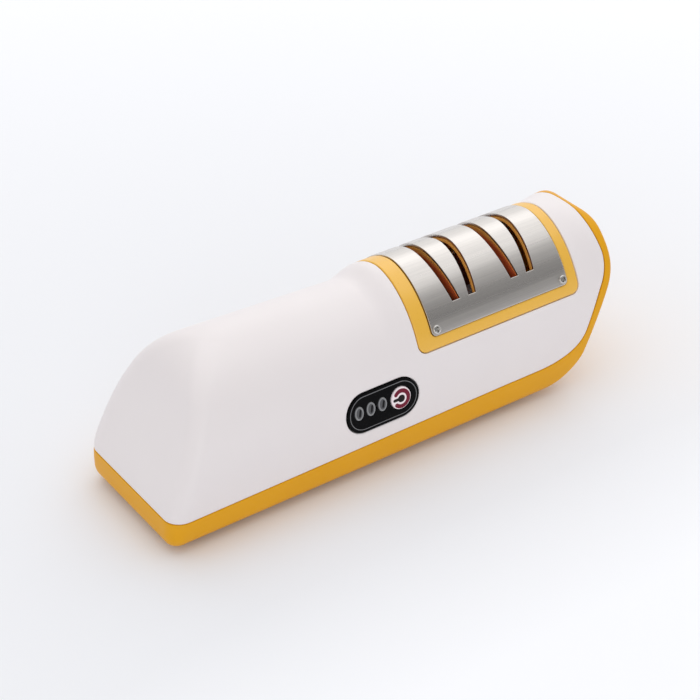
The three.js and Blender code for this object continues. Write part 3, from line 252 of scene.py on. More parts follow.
def skin(grid, keep, edge=EDGE, wall=WALL, closed=False, steps=4):
    """A solid wall under a grid of surface points. It is cut where keep() turns negative, and the cut
    edge is rounded. Returns its points and faces."""
    rows, cols = grid.shape[:2]
    points, normals = grid.reshape(-1, 3), grid_normals(grid, closed).reshape(-1, 3)

    def reach(p, n):
        """Distance to the cut along the surface, and the direction to it."""
        d = 0.05
        slope = np.column_stack([(keep(p + d * e) - keep(p - d * e)) / (2 * d) for e in np.eye(3)])
        slope -= (slope * n).sum(1, keepdims=True) * n
        steep = np.linalg.norm(slope, axis=1)
        return keep(p) / np.maximum(steep, 0.3), -slope / np.maximum(steep, 1e-9)[:, None]

    left = reach(points, normals)[0] - edge
    left[np.abs(left) < 1e-3] = 1e-3
    inside = left > 0
    i, j = np.meshgrid(np.arange(rows - 1), np.arange(cols if closed else cols - 1), indexing="ij")
    i, j, k = i.ravel(), j.ravel(), (j.ravel() + 1) % cols
    quads = np.column_stack([i * cols + j, i * cols + k, (i + 1) * cols + k, (i + 1) * cols + j])
    kept = inside[quads]
    faces = quads[kept.all(1)].tolist()
    # Each cell that the cut crosses keeps its inner share, and the crossings are joined into a rim
    crossings, cuts, rim = {}, [], []
    for quad in quads[kept.any(1) & ~kept.all(1)].tolist():
        shape, leaving = [], []
        for p, q in zip(quad, quad[1:] + quad[:1]):
            if inside[p]:
                shape.append(p)
            if inside[p] != inside[q]:
                key = (min(p, q), max(p, q))
                if key not in crossings:
                    crossings[key] = len(points) + len(cuts)
                    t = left[key[0]] / (left[key[0]] - left[key[1]])
                    cuts.append((*key, t))
                shape.append(crossings[key])
                leaving.append((crossings[key], bool(inside[p])))
        faces.append(shape)
        if not leaving[0][1]:
            leaving.append(leaving.pop(0))
        rim += [(leaving[n][0], leaving[n + 1][0]) for n in range(0, len(leaving) - 1, 2)]

    # From the cut, a quarter turn rounds the edge, a straight side leads down, and the wall closes
    layers = [points]
    under = points - normals * wall
    if cuts:
        a, b, t = (np.array(v) for v in zip(*cuts))
        at = points[a] + (points[b] - points[a]) * t[:, None]
        up = normals[a] + (normals[b] - normals[a]) * t[:, None]
        up /= np.linalg.norm(up, axis=1, keepdims=True)
        out = reach(at, up)[1]
        layers.append(at)
        for n in range(1, steps + 1):
            turn = n / steps * math.pi / 2
            layers.append(at - up * edge + edge * (up * math.cos(turn) + out * math.sin(turn)))
        layers.append(at + out * edge - up * wall)
        count, first = len(cuts), len(points)
        for n in range(steps + 1):
            lower = first + n * count
            faces += [[w - first + lower, v - first + lower, v - first + lower + count,
                       w - first + lower + count] for v, w in rim]
        base = first + (steps + 2) * count
        last = first + (steps + 1) * count
        faces += [[(p + base if p < first else p - first + last) for p in reversed(shape)]
                  for shape in faces[:len(faces) - (steps + 1) * len(rim)]]
    else:
        base = len(points)
        faces += [[p + base for p in reversed(shape)] for shape in list(faces)]
    return np.vstack(layers + [under]), faces


def piece(name, parts, material, body="housing", replaces=(), sharp=38):
    """A mesh object of one or more (points, faces) parts in millimetres, shaded smooth between sharp
    edges, which rides on a body and stands for CAD nodes."""
    used = []
    for points, faces in parts:
        corners = np.concatenate([np.ravel(face) for face in faces]).astype(int)
        needed, order = np.unique(corners, return_inverse=True)
        ends = np.cumsum([len(face) for face in faces])[:-1]
        used.append((np.asarray(points)[needed], [face.tolist() for face in np.split(order.ravel(), ends)]))
    shift = np.cumsum([0] + [len(points) for points, _ in used])
    mesh = bpy.data.meshes.new(name)
    mesh.from_pydata(
        (np.vstack([points for points, _ in used]) * MM).tolist(), [],
        [[v + int(s) for v in face] for (_, faces), s in zip(used, shift) for face in faces])
    made = bpy.data.objects.new(name, mesh)
    bpy.context.scene.collection.objects.link(made)
    weld(mesh)
    mesh.shade_smooth()
    mesh.set_sharp_from_angle(angle=math.radians(sharp))
    mesh.materials.append(material)
    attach(made, body)
    if replaces:
        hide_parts(*replaces)


def weld(mesh):
    """Joins points that lie together, and drops the faces that this leaves without area."""
    work = bmesh.new()
    work.from_mesh(mesh)
    bmesh.ops.remove_doubles(work, verts=work.verts, dist=2e-6)
    bmesh.ops.dissolve_degenerate(work, edges=work.edges, dist=1e-7)
    work.to_mesh(mesh)
    work.free()


def colour(code):
    """Linear colour of an sRGB hex code."""
    parts = [int(code[n:n + 2], 16) / 255 for n in (1, 3, 5)]
    return tuple(c / 12.92 if c <= 0.04045 else ((c + 0.055) / 1.055) ** 2.4 for c in parts) + (1.0,)


def add(material, kind, inputs=(), **settings):
    """Adds a node with its settings, and fills or links its inputs."""
    node = material.node_tree.nodes.new(kind)
    for key, value in settings.items():
        setattr(node, key, value)
    for key, value in dict(inputs).items():
        if isinstance(value, bpy.types.NodeSocket):
            material.node_tree.links.new(value, node.inputs[key])
        else:
            node.inputs[key].default_value = value
    return node


def material_of(name):
    """A new material with nothing in it yet."""
    material = bpy.data.materials.new(name)
    material.use_nodes = True
    material.node_tree.nodes.clear()
    return material


def moulded(name, light, dark, roughness, grain=0.35, specular=0.5):
    """A moulded plastic: its colour is faintly cloudy over 30 mm, and the fine spark-eroded grain of
    the mould breaks up its shine. Grain is in mm, drawn about three times coarser than it is."""
    material = material_of(name)
    place = add(material, "ShaderNodeTexCoord").outputs["Object"]
    cloud = add(material, "ShaderNodeTexNoise", {"Vector": place, "Scale": 1 / (30 * MM), "Detail": 3})
    skin_grain = add(material, "ShaderNodeTexNoise", {
        "Vector": place, "Scale": 1 / (grain * MM), "Detail": 2})
    tint = add(material, "ShaderNodeMix", {0: cloud.outputs["Fac"], 6: colour(dark), 7: colour(light)},
               data_type="RGBA")
    shine = add(material, "ShaderNodeMapRange", {
        "Value": skin_grain.outputs["Fac"], "To Min": roughness - 0.06, "To Max": roughness + 0.06})
    bump = add(material, "ShaderNodeBump", {"Height": skin_grain.outputs["Fac"], "Strength": 0.12,
                                            "Distance": 0.03 * MM})
    surface = add(material, "ShaderNodeBsdfPrincipled", {
        "Base Color": tint.outputs[2], "Roughness": shine.outputs[0], "Normal": bump.outputs[0],
        "Specular IOR Level": specular, "IOR": 1.53})
    add(material, "ShaderNodeOutputMaterial", {"Surface": surface.outputs[0]})
    return material


# Satin ABS, spark-eroded mould: soft highlights on a warm white
WHITE_ABS = moulded("white_moulded_abs", "#F0EAEA", "#EBE4E5", 0.38)

# Stations along X, closer together where the ridge or an opening turns
STATIONS = np.unique(np.concatenate([
    np.arange(-42, -26, 1.4), np.arange(-26, 16, 0.7), np.arange(16, 40, 1.4)]))
WHITE_STATIONS = np.unique(np.concatenate([STATIONS, np.arange(40, 66, 1.4), np.arange(66, 71, 0.7)]))
# Levels as shares of the arch's height: even up the sides, then closing up towards the crown
LOW_SHARE, SHARE_BEND = 0.55, 1.2
high_turn = np.linspace(math.asin(LOW_SHARE ** SHARE_BEND), math.pi / 2, 46)[1:]
SHARES = np.concatenate([np.linspace(0, LOW_SHARE, 40), np.sin(high_turn) ** (1 / SHARE_BEND)])
SHARES[-1] = 1
white_seam = white_side(0)


def keep_white(p):
    """Positive on the housing: above the seam, and outside the openings of the frame and the panel."""
    x, z = p[:, 0], p[:, 2]
    window = -in_window(x, z, *FRAME_X, FRAME_BOTTOM, FRAME_CORNER, FIT)
    size = (PANEL_SIZE[0] + FIT * 2, PANEL_SIZE[1] + FIT * 2)
    panel = np.where(p[:, 1] < 0, -in_round_rect(x, z, PANEL_AT, size, size[1] / 2), 50)
    return np.minimum.reduce([in_outline(p[:, [0, 2]], white_seam), window, panel])


white_grid = np.array([body_level(z, 0, WHITE_STATIONS) for z in np.linspace(11, 13.6, 6)]
                      + [arch_level(s, 0, WHITE_STATIONS) for s in SHARES])
piece("white_housing", [skin(white_grid, keep_white, closed=True)], WHITE_ABS,
      replaces=["upper_shell"])

# Yellow tray: moulded ABS, with a flat floor, round lower edges and a wall that turns up the head
# end to the crown. A lip on it lies inside the white housing and closes the seam from behind.

# Satin ABS in a warm golden yellow, a little cloudy where the melt met
YELLOW_ABS = moulded("yellow_moulded_abs", "#EBAA08", "#E4A204", 0.40, specular=0.25)

LIP_RISE, LIP_DEPTH, LIP_WALL = 2.5, 4, 1.2
FOOT_RADIUS, FOOT_X, FOOT_Y = 4.5, (-78, 45), 15.5
SCREW_AT = [(-61.1, -16.6), (-61.1, 16.6), (36.5, -18.5), (36.5, 18.5)]
SCREW_HEAD, SCREW_SEAT_Z, POST_RADIUS, POST_FOOT, POST_TOP = 2.75, 4.7, 4, FOOT_LIFT + 0.6, 16
UNDERSIDE_REACH = 5
SOCKET_AT, SOCKET_SIZE = (-27.55, 10.0), (8.9, 3.2)
tray_seam = white_side(FIT)
TRAY_STATIONS = STATIONS[STATIONS < 40]


def keep_tray(p):
    """Positive on the tray: below the seam, and outside the foot recesses, the screw holes and the
    charging socket's mouth."""
    x, y, z = p.T
    holes = [50 + 0 * x]
    for fx in FOOT_X:
        holes.append(np.hypot(x - fx, np.abs(y) - FOOT_Y) - FOOT_RADIUS - FIT)
    for sx, sy in SCREW_AT:
        holes.append(np.hypot(x - sx, y - sy) - SCREW_HEAD - FIT)
    below = np.where(z < UNDERSIDE_REACH, np.minimum.reduce(holes), 50)
    size = (SOCKET_SIZE[0] + FIT * 2, SOCKET_SIZE[1] + FIT * 2)
    mouth = np.where((y > 0) & (z < SEAM_Z), -in_round_rect(x, z, SOCKET_AT, size, size[1] / 2), 50)
    return np.minimum.reduce([-in_outline(p[:, [0, 2]], tray_seam), below, mouth])


def floor_level(share):
    """One ring of the flat underside, drawn in from its edge to the line along its middle."""
    ring = body_level(FOOT_LIFT, 0, TRAY_STATIONS)
    middle = np.clip(ring[:, 0], ring[:, 0].min() + 20, ring[:, 0].max() - 20)
    return np.column_stack([middle + (ring[:, 0] - middle) * share, ring[:, 1] * share, ring[:, 2]])


# Close rows hold the narrow strip between the socket's mouth and the seam
under_turn = np.linspace(0, math.pi / 2, 15)
TRAY_HEIGHTS = np.concatenate([
    FOOT_LIFT + UNDER_ROUND * (1 - np.cos(under_turn)), np.linspace(6.7, 11.7, 8),
    np.linspace(11.9, 13.1, 13), (13.5, SEAM_Z)])
tray_grid = np.array(
    [floor_level(s) for s in np.linspace(0, 1, 24)[:-1]]
    + [body_level(z, 0, TRAY_STATIONS) for z in TRAY_HEIGHTS]
    + [arch_level(s, 0, TRAY_STATIONS) for s in SHARES[1:]])
lip_top, lip_foot = white_side(-LIP_RISE), white_side(LIP_DEPTH)
lip_grid = np.array(
    [body_level(z, WALL + FIT, TRAY_STATIONS) for z in np.linspace(9, SEAM_Z, 6)]
    + [arch_level(s, WALL + FIT, TRAY_STATIONS) for s in SHARES[1:]])


def keep_lip(p):
    """Positive on a band along the seam, from below it to above it."""
    side = p[:, [0, 2]]
    return np.minimum(-in_outline(side, lip_top), in_outline(side, lip_foot))


def strip(rows, cols, closed=False):
    """Faces between rows of points that are closed rings. The last row may join the first."""
    last = rows if closed else rows - 1
    return [[i * cols + j, (i + 1) % rows * cols + j, (i + 1) % rows * cols + (j + 1) % cols,
             i * cols + (j + 1) % cols] for i in range(last) for j in range(cols)]


def round_solid(rows):
    """A closed solid from rings of points, from the middle of its top to the middle of its base."""
    count, sides = rows.shape[:2]
    points = np.vstack([rows.reshape(-1, 3), rows[-1].mean(0)[None]])
    end = (count - 1) * sides
    cap = [[end + j, count * sides, end + (j + 1) % sides] for j in range(sides)]
    return points, strip(count, sides) + cap


def lathe_z(profile, x, y, sides=64):
    """An open profile of (radius, height), from the middle of its base to the middle of its top."""
    angle = np.arange(sides) / sides * math.tau
    rows = np.array([[(x + r * math.cos(a), y + r * math.sin(a), h) for a in angle] for r, h in profile])
    return round_solid(rows)


# Each post has a counterbore from below, as wide as the screw's head, with a seat at its end
NEAR_AXIS = 0.01
bore = SCREW_HEAD + FIT
post_profile = [(NEAR_AXIS, SCREW_SEAT_Z), (bore, SCREW_SEAT_Z), (bore, POST_FOOT), (POST_RADIUS, POST_FOOT),
                (POST_RADIUS, POST_TOP), (NEAR_AXIS, POST_TOP)]
piece("yellow_tray", [
    skin(tray_grid, keep_tray, closed=True),
    skin(lip_grid, keep_lip, edge=0.2, wall=LIP_WALL, closed=True),
    *(lathe_z(post_profile, x, y) for x, y in SCREW_AT)], YELLOW_ABS,
    replaces=["base_tray"])

# Guide frame: a yellow ABS saddle that drops into the head. Its border lies level with the housing,
# and under the cover plate its two guides hold the blade at the right angle to each wheel.
FRAME_PROUD, FRAME_EDGE, FRAME_WALL, PLATE_GAP = 0.05, 0.45, 1.8, 0.25
PLATE_X, PLATE_BOTTOM, PLATE_CORNER = (12.6, 70.0), 41.6, 1.6
STAGES = (28.6, 53.2)
SLOT_FLOOR, SLOT_SPACING, SLOT_TILT = 48, 6.2, math.tan(math.radians(11.3))
WHEEL_RADIUS, SHAFT_Z = 18, 33.5
SADDLE_TOP, SADDLE_UNDER, SADDLE_BOTTOM, SADDLE_STEP = 0.9, 1.7, 41.9, 0.8
GUIDE_TOP, GUIDE_BOTTOM, GUIDE_FLOOR, GUIDE_HALF = 1.35, 46.5, 43.5, 3.7
POCKET_HALF, POCKET_GAP = 3.6, 0.8


def arch_path(inset, bottom, step):
    """Points (y, z) evenly spaced over the arch of the head, from the near side to the far side."""
    a = np.linspace(0, math.pi / 2, 400)
    y = -(WIDTH / 2 - inset) * np.cos(a) ** (2 / ARCH_CROWN)
    z = SEAM_Z + (HEAD_CROWN - inset - SEAM_Z) * np.sin(a) ** (2 / ARCH_SHOULDER)
    path = np.column_stack([y, z])[z > bottom]
    path[-1, 0] = 0
    path = np.vstack([path, path[-2::-1] * (-1, 1)])
    run = np.concatenate([[0], np.cumsum(np.linalg.norm(np.diff(path, axis=0), axis=1))])
    at = np.linspace(0, run[-1], int(run[-1] / step) + 1)
    return np.column_stack([np.interp(at, run, path[:, 0]), np.interp(at, run, path[:, 1])])


def arch_grid(inset, x0, x1, bottom, step=0.55):
    """Surface grid over the head between two stations."""
    path = arch_path(inset, bottom, step)
    xs = np.linspace(x0, x1, int((x1 - x0) / step) + 1)
    grid = np.empty((len(path), len(xs), 3))
    grid[..., 0] = xs
    grid[..., 1:] = path[:, None, :]
    return grid


def keep_border(p):
    """Positive on the frame round the plate."""
    x, z = p[:, 0], p[:, 2]
    return np.minimum(in_window(x, z, *FRAME_X, FRAME_BOTTOM, FRAME_CORNER),
                      -in_window(x, z, *PLATE_X, PLATE_BOTTOM, PLATE_CORNER, PLATE_GAP))


def tube(rows):
    """A closed solid from rings of points, with flat ends."""
    count, sides = rows.shape[:2]
    ends = [list(range(sides)), [(count - 1) * sides + j for j in range(sides)][::-1]]
    return rows.reshape(-1, 3), strip(count, sides) + ends


def run_x(section, x0, x1):
    """A closed section (y, z) run along X."""
    return tube(np.array([np.insert(section, 0, x, axis=1) for x in (x1, x0)]))


def run_y(section, y0, y1):
    """A closed section (x, z) run along Y."""
    return tube(np.array([np.insert(section, 1, y, axis=1) for y in (y0, y1)]))


def shaped(base, tools):
    """Joins and cuts solids with the modifier, and returns the points and faces that are left."""
    def tool(part):
        mesh = bpy.data.meshes.new("tool")
        mesh.from_pydata(np.asarray(part[0]).tolist(), [], part[1])
        made = bpy.data.objects.new("tool", mesh)
        bpy.context.scene.collection.objects.link(made)
        work = bmesh.new()
        work.from_mesh(mesh)
        bmesh.ops.recalc_face_normals(work, faces=work.faces)
        work.to_mesh(mesh)
        work.free()
        return made
    body = tool(base)
    others = [tool(part) for _, part in tools]
    for (how, _), other in zip(tools, others):
        step = body.modifiers.new("step", "BOOLEAN")
        step.operation, step.object, step.solver = how, other, "EXACT"
    done = body.evaluated_get(bpy.context.evaluated_depsgraph_get()).to_mesh()
    points = np.array([v.co[:] for v in done.vertices])
    faces = [list(face.vertices) for face in done.polygons]
    for spent in [body] + others:
        bpy.data.objects.remove(spent)
    return points, faces


def slot_centres(z):
    """Stations of the four slots at a height: each pair closes downwards round its wheel."""
    from_stage = SLOT_SPACING / 2 + SLOT_TILT * (z - SLOT_FLOOR)
    return [stage + side * from_stage for stage in STAGES for side in (-1, 1)]


saddle_outer = arch_path(SADDLE_TOP, SADDLE_BOTTOM, SADDLE_STEP)
saddle_inner = arch_path(SADDLE_UNDER, SADDLE_BOTTOM, SADDLE_STEP)
saddle_section = np.vstack([saddle_outer, saddle_inner[::-1]])
saddle = run_x(saddle_section, PLATE_X[0] - PLATE_GAP, PLATE_X[1] + PLATE_GAP)
guide_top = arch_path(GUIDE_TOP, GUIDE_BOTTOM, SADDLE_STEP)
guide_section = np.vstack([guide_top, [(guide_top[-1, 0], GUIDE_FLOOR), (guide_top[0, 0], GUIDE_FLOOR)]])
pocket_radius, pocket_turn = WHEEL_RADIUS + POCKET_GAP, np.linspace(0, math.tau, 97)[:-1]
pocket_section = np.column_stack([
    pocket_radius * np.cos(pocket_turn), SHAFT_Z + pocket_radius * np.sin(pocket_turn)])
guide_shapes = [("UNION", run_x(guide_section, stage - GUIDE_HALF, stage + GUIDE_HALF)) for stage in STAGES]
guide_shapes += [("DIFFERENCE", run_x(pocket_section, stage - POCKET_HALF, stage + POCKET_HALF))
                 for stage in STAGES]
# The guides' slots: floor, top, half width and reach to each side of a wide cut through the saddle and
# a short one below it. They lie a little outside the plate's slots, which leaves the wedge between them
SLOT_CUTS = ((46, HEIGHT + 3, 1.5, 26), (42.3, 46.6, 1.47, 16.6))
SLOT_OUTWARD = 0.15
for floor_z, top_z, half, reach_y in SLOT_CUTS:
    for slot_side, low, high in zip((-1, 1, -1, 1), slot_centres(floor_z), slot_centres(top_z)):
        low_x, high_x = low + slot_side * SLOT_OUTWARD, high + slot_side * SLOT_OUTWARD
        cut = np.array([(low_x - half, floor_z), (low_x + half, floor_z), (high_x + half, top_z),
                        (high_x - half, top_z)])
        guide_shapes.append(("DIFFERENCE", run_y(cut, -reach_y, reach_y)))
guides = shaped(saddle, guide_shapes)

# The same ABS from a polished mould: clearer highlights along its crown
# Its yellow is paler than the tray's: partly its own tint, partly painted light on the upward-facing frame
POLISHED_LIT_YELLOW = moulded("yellow_polished_abs_painted_paler", "#F4BC34", "#EEB52C", 0.30, specular=1.0)
border_grid = arch_grid(-FRAME_PROUD, *FRAME_X, 36.9)
piece("guide_border", [skin(border_grid, keep_border, edge=FRAME_EDGE, wall=FRAME_WALL)], POLISHED_LIT_YELLOW,
      replaces=["guide_frame"])

# ABS of the guides, with painted shade deep in the slots: red-brown within 22.6 mm of the shaft and
# 3.4 mm of a wheel's middle, and plain yellow from 24.6 mm and 4.4 mm, so that the slots redden downwards
SLOT_SHADE_YELLOW = moulded("yellow_abs_with_painted_slot_shade", "#E6A650", "#DE9D48", 0.45, specular=0.4)
guide_place = add(SLOT_SHADE_YELLOW, "ShaderNodeTexCoord").outputs["Object"]
off_axis = add(SLOT_SHADE_YELLOW, "ShaderNodeVectorMath", {0: guide_place, 1: (0, 1, 1)}, operation="MULTIPLY")
from_shaft = add(SLOT_SHADE_YELLOW, "ShaderNodeVectorMath", {0: off_axis.outputs[0], 1: (0, 0, SHAFT_Z * MM)},
                 operation="DISTANCE")
below_plate = add(SLOT_SHADE_YELLOW, "ShaderNodeMapRange", {
    "Value": from_shaft.outputs["Value"], "From Min": 24.6 * MM, "From Max": 22.6 * MM})
# Folding X at the middle between the wheels, and again at a wheel, gives the distance to a wheel
from_wheel = add(SLOT_SHADE_YELLOW, "ShaderNodeSeparateXYZ", {0: guide_place})
for fold_at in (sum(STAGES) / 2, (STAGES[1] - STAGES[0]) / 2):
    past_fold = add(SLOT_SHADE_YELLOW, "ShaderNodeMath", {0: from_wheel.outputs[0], 1: fold_at * MM},
                    operation="SUBTRACT")
    from_wheel = add(SLOT_SHADE_YELLOW, "ShaderNodeMath", {0: past_fold.outputs[0]}, operation="ABSOLUTE")
near_wheel = add(SLOT_SHADE_YELLOW, "ShaderNodeMapRange", {
    "Value": from_wheel.outputs[0], "From Min": 4.4 * MM, "From Max": 3.4 * MM})
painted_shade = add(SLOT_SHADE_YELLOW, "ShaderNodeMath", {0: below_plate.outputs[0], 1: near_wheel.outputs[0]},
           operation="MULTIPLY")
guide_surface = SLOT_SHADE_YELLOW.node_tree.nodes["Principled BSDF"]
unshaded_tone = guide_surface.inputs["Base Color"].links[0].from_socket
# Painted shade: a red-brown that stands for the reddened shade deep in the slots
shaded_tone = add(SLOT_SHADE_YELLOW, "ShaderNodeMix", {0: painted_shade.outputs[0], 6: unshaded_tone, 7: colour("#E06838")},
            data_type="RGBA")
SLOT_SHADE_YELLOW.node_tree.links.new(shaded_tone.outputs[2], guide_surface.inputs["Base Color"])
piece("guide_saddle", [guides], SLOT_SHADE_YELLOW)

# Cover plate: 0.8 mm stainless sheet, bent over the frame and brushed along its length, with the
# four blade slots cut through it. It stands a little above the border round it.
PLATE_PROUD, PLATE_THICKNESS = 0.3, 0.8
SLOT_WIDTH, SLOT_END = 3.3, 49.2


def keep_plate(p):
    """Positive on the plate: inside its outline, and outside the four slots."""
    x, z = p[:, 0], p[:, 2]
    cuts = [in_window(x, z, *PLATE_X, PLATE_BOTTOM, PLATE_CORNER)]
    lean_cos = math.cos(math.atan(SLOT_TILT))
    for centre in slot_centres(z):
        across = (np.abs(x - centre) - SLOT_WIDTH / 2) * lean_cos
        below = SLOT_END - z
        cuts.append(np.where((across > 0) & (below > 0), np.hypot(across, below), np.maximum(across, below)))
    return np.minimum.reduce(cuts)


# Brushed stainless sheet: fine scratches along X spread the highlights across them
BRUSHED_STEEL = material_of("brushed_stainless_sheet")
sheet_place = add(BRUSHED_STEEL, "ShaderNodeTexCoord").outputs["Object"]
# Scratches 0.25 mm apart and 25 mm long, drawn coarser than the real 0.05 mm so that they show, in
# bands 3 mm wide that the brush leaves
along = add(BRUSHED_STEEL, "ShaderNodeMapping", {"Vector": sheet_place, "Scale": (0.01, 1, 1)})
scratch = add(BRUSHED_STEEL, "ShaderNodeTexNoise", {
    "Vector": along.outputs[0], "Scale": 1 / (0.25 * MM), "Detail": 4, "Roughness": 0.7})
band = add(BRUSHED_STEEL, "ShaderNodeTexNoise", {
    "Vector": along.outputs[0], "Scale": 1 / (3 * MM), "Detail": 2})
steel_tone = add(BRUSHED_STEEL, "ShaderNodeMix", {
    0: scratch.outputs["Fac"], 6: colour("#BCB9B8"), 7: colour("#DFDAD4")}, data_type="RGBA")
steel_shine = add(BRUSHED_STEEL, "ShaderNodeMapRange", {
    "Value": band.outputs["Fac"], "From Min": 0.3, "From Max": 0.7, "To Min": 0.26, "To Max": 0.36})
steel_bump = add(BRUSHED_STEEL, "ShaderNodeBump", {
    "Height": scratch.outputs["Fac"], "Strength": 0.25, "Distance": 0.02 * MM})
steel_surface = add(BRUSHED_STEEL, "ShaderNodeBsdfPrincipled", {
    "Base Color": steel_tone.outputs[2], "Metallic": 1.0, "Roughness": steel_shine.outputs[0],
    "Normal": steel_bump.outputs[0]})
add(BRUSHED_STEEL, "ShaderNodeOutputMaterial", {"Surface": steel_surface.outputs[0]})

plate_grid = arch_grid(-PLATE_PROUD, *PLATE_X, 41.2, 0.4)
piece("cover_plate", [skin(plate_grid, keep_plate, edge=0.15, wall=PLATE_THICKNESS, steps=3)], BRUSHED_STEEL,
      replaces=["guide_plate"])

# Plate screws: four small nickel-plated pan heads with a cross recess, one at each lower corner of
# the plate, turned in square to its face.
PLATE_SCREW_HEAD, PLATE_SCREW_RISE, PLATE_SCREW_INSET, PLATE_SCREW_PROUD = 1.5, 0.75, 1.9, 0.15
# The cross recess, in shares of the head's radius: half an arm's width and its length, and how far
# its walls and its ends slope
CROSS_HALF, CROSS_REACH, CROSS_WALL, CROSS_END = 0.27, 0.66, 0.08, 0.1


def screw_head(radius, height, recess):
    """A pan head that faces +Z, with its cross recess, on a round grid of points."""
    r = np.concatenate([np.linspace(0, 0.8, 19), np.sin(np.linspace(0.93, math.pi / 2, 8)[1:])])
    r, angle = np.meshgrid(r, np.arange(96) / 96 * math.tau, indexing="ij")
    x, y = r * np.cos(angle), r * np.sin(angle)
    dome = height * (0.45 + 0.55 * (1 - r ** 2.6) ** 0.6)
    off_arm = np.minimum(np.abs(x), np.abs(y))
    along_arm = np.maximum(np.abs(x), np.abs(y))
    deep = (np.clip((CROSS_HALF - off_arm) / CROSS_WALL, 0, 1)
            * np.clip((CROSS_REACH - along_arm) / CROSS_END, 0, 1))
    top = np.stack([x * radius, y * radius, dome - recess * deep * deep * (3 - 2 * deep)], -1)
    rim = top[-1:] * (1, 1, 0)
    neck = rim * 0.4 + (0, 0, -height)
    return round_solid(np.concatenate([top, rim, neck]))


def turned_to(part, at, direction, spin=0.0):
    """Spins a part that faces +Z, turns it to a direction and moves it to a place."""
    spun = np.array([[math.cos(spin), -math.sin(spin), 0], [math.sin(spin), math.cos(spin), 0], [0, 0, 1]])
    turn = np.array(Vector(direction).to_track_quat("Z", "Y").to_matrix()) @ spun
    return part[0] @ turn.T + np.array(at), part[1]


# Nickel-plated steel: bright and nearly smooth, with faint blotches 0.4 mm wide from tumbling
NICKEL_PLATE = material_of("nickel_plated_steel")
nickel_place = add(NICKEL_PLATE, "ShaderNodeTexCoord").outputs["Object"]
tumble = add(NICKEL_PLATE, "ShaderNodeTexNoise", {
    "Vector": nickel_place, "Scale": 1 / (0.4 * MM), "Detail": 3})
nickel_tone = add(NICKEL_PLATE, "ShaderNodeMix", {
    0: tumble.outputs["Fac"], 6: colour("#BDBBB8"), 7: colour("#D8D6D2")}, data_type="RGBA")
nickel_shine = add(NICKEL_PLATE, "ShaderNodeMapRange", {
    "Value": tumble.outputs["Fac"], "To Min": 0.15, "To Max": 0.28})
nickel_surface = add(NICKEL_PLATE, "ShaderNodeBsdfPrincipled", {
    "Base Color": nickel_tone.outputs[2], "Metallic": 1.0, "Roughness": nickel_shine.outputs[0]})
add(NICKEL_PLATE, "ShaderNodeOutputMaterial", {"Surface": nickel_surface.outputs[0]})

# The slope of the plate's face there, from its depth a little above and below
plate_screw_z = PLATE_BOTTOM + PLATE_SCREW_INSET
face_y = float(side_y(STAGES[0], plate_screw_z, -PLATE_PROUD))
face_above, face_below = (side_y(STAGES[0], plate_screw_z + dz, -PLATE_PROUD) for dz in (0.3, -0.3))
face_rise = float(face_above - face_below) / 0.6
plate_screw_x = (PLATE_X[0] + PLATE_SCREW_INSET, PLATE_X[1] - PLATE_SCREW_INSET)
for number, (side, x) in enumerate([(side, x) for side in (-1, 1) for x in plate_screw_x], 1):
    screw_at = (x, side * (face_y + PLATE_SCREW_PROUD), plate_screw_z)
    head = screw_head(PLATE_SCREW_HEAD, PLATE_SCREW_RISE, PLATE_SCREW_RISE)
    piece(f"plate_screw_head_{number}", [turned_to(head, screw_at, (0, side, -face_rise), 0.5 + number)],
          NICKEL_PLATE, replaces=[f"plate_screw_{number}"])

# Abrasive wheels: double cones of bonded grit on a hub, fine towards the handle and coarse towards
# the head, held on the shaft between the ribs of the guide frame.
def grit(name, light, dark, size):
    """Bonded abrasive: grains of one size in a duller bond, rough to the light. Size is in mm,
    drawn about twice the real grain."""
    material = material_of(name)
    place = add(material, "ShaderNodeTexCoord").outputs["Object"]
    grains = add(material, "ShaderNodeTexVoronoi", {"Vector": place, "Scale": 1 / (size * MM)})
    tone = add(material, "ShaderNodeMix", {
        0: grains.outputs["Distance"], 6: colour(light), 7: colour(dark)}, data_type="RGBA")
    bump = add(material, "ShaderNodeBump", {"Height": grains.outputs["Distance"], "Strength": 0.7,
                                            "Distance": size / 2 * MM})
    surface = add(material, "ShaderNodeBsdfPrincipled", {
        "Base Color": tone.outputs[2], "Roughness": 0.9, "Normal": bump.outputs[0]})
    add(material, "ShaderNodeOutputMaterial", {"Surface": surface.outputs[0]})
    return material


def lathe_x(profile, x, sides=128):
    """A closed profile of (radius, station) turned round the shaft."""
    angle = np.arange(sides) / sides * math.tau
    points = np.array([(x + along, r * math.cos(a), SHAFT_Z + r * math.sin(a))
                       for r, along in profile for a in angle])
    return points, [face[::-1] for face in strip(len(profile), sides, closed=True)]


# One side of a wheel as (radius, station): bore, hub, web, and the cone up to the rim
WHEEL_SIDE = [(2.8, -3.6), (6, -3.6), (6, -2.8), (14.5, -2.8), (16.3, -1.9), (17.7, -1.1),
              (WHEEL_RADIUS, -0.7)]
wheel_profile = WHEEL_SIDE + [(r, -s) for r, s in reversed(WHEEL_SIDE)]
FINE_GRIT = grit("bonded_fine_grit", "#9A6844", "#5C3A24", 0.25)
COARSE_GRIT = grit("bonded_coarse_grit", "#96482C", "#562616", 0.4)
for wheel, stage, grit_of, grit_slot in (
        ("wheel_fine", STAGES[0], FINE_GRIT, "fine_abrasive"),
        ("wheel_coarse", STAGES[1], COARSE_GRIT, "coarse_abrasive")):
    piece(f"{wheel}_disc", [lathe_x(wheel_profile, stage)], grit_of, body="rotor", replaces=[wheel],
          sharp=30)

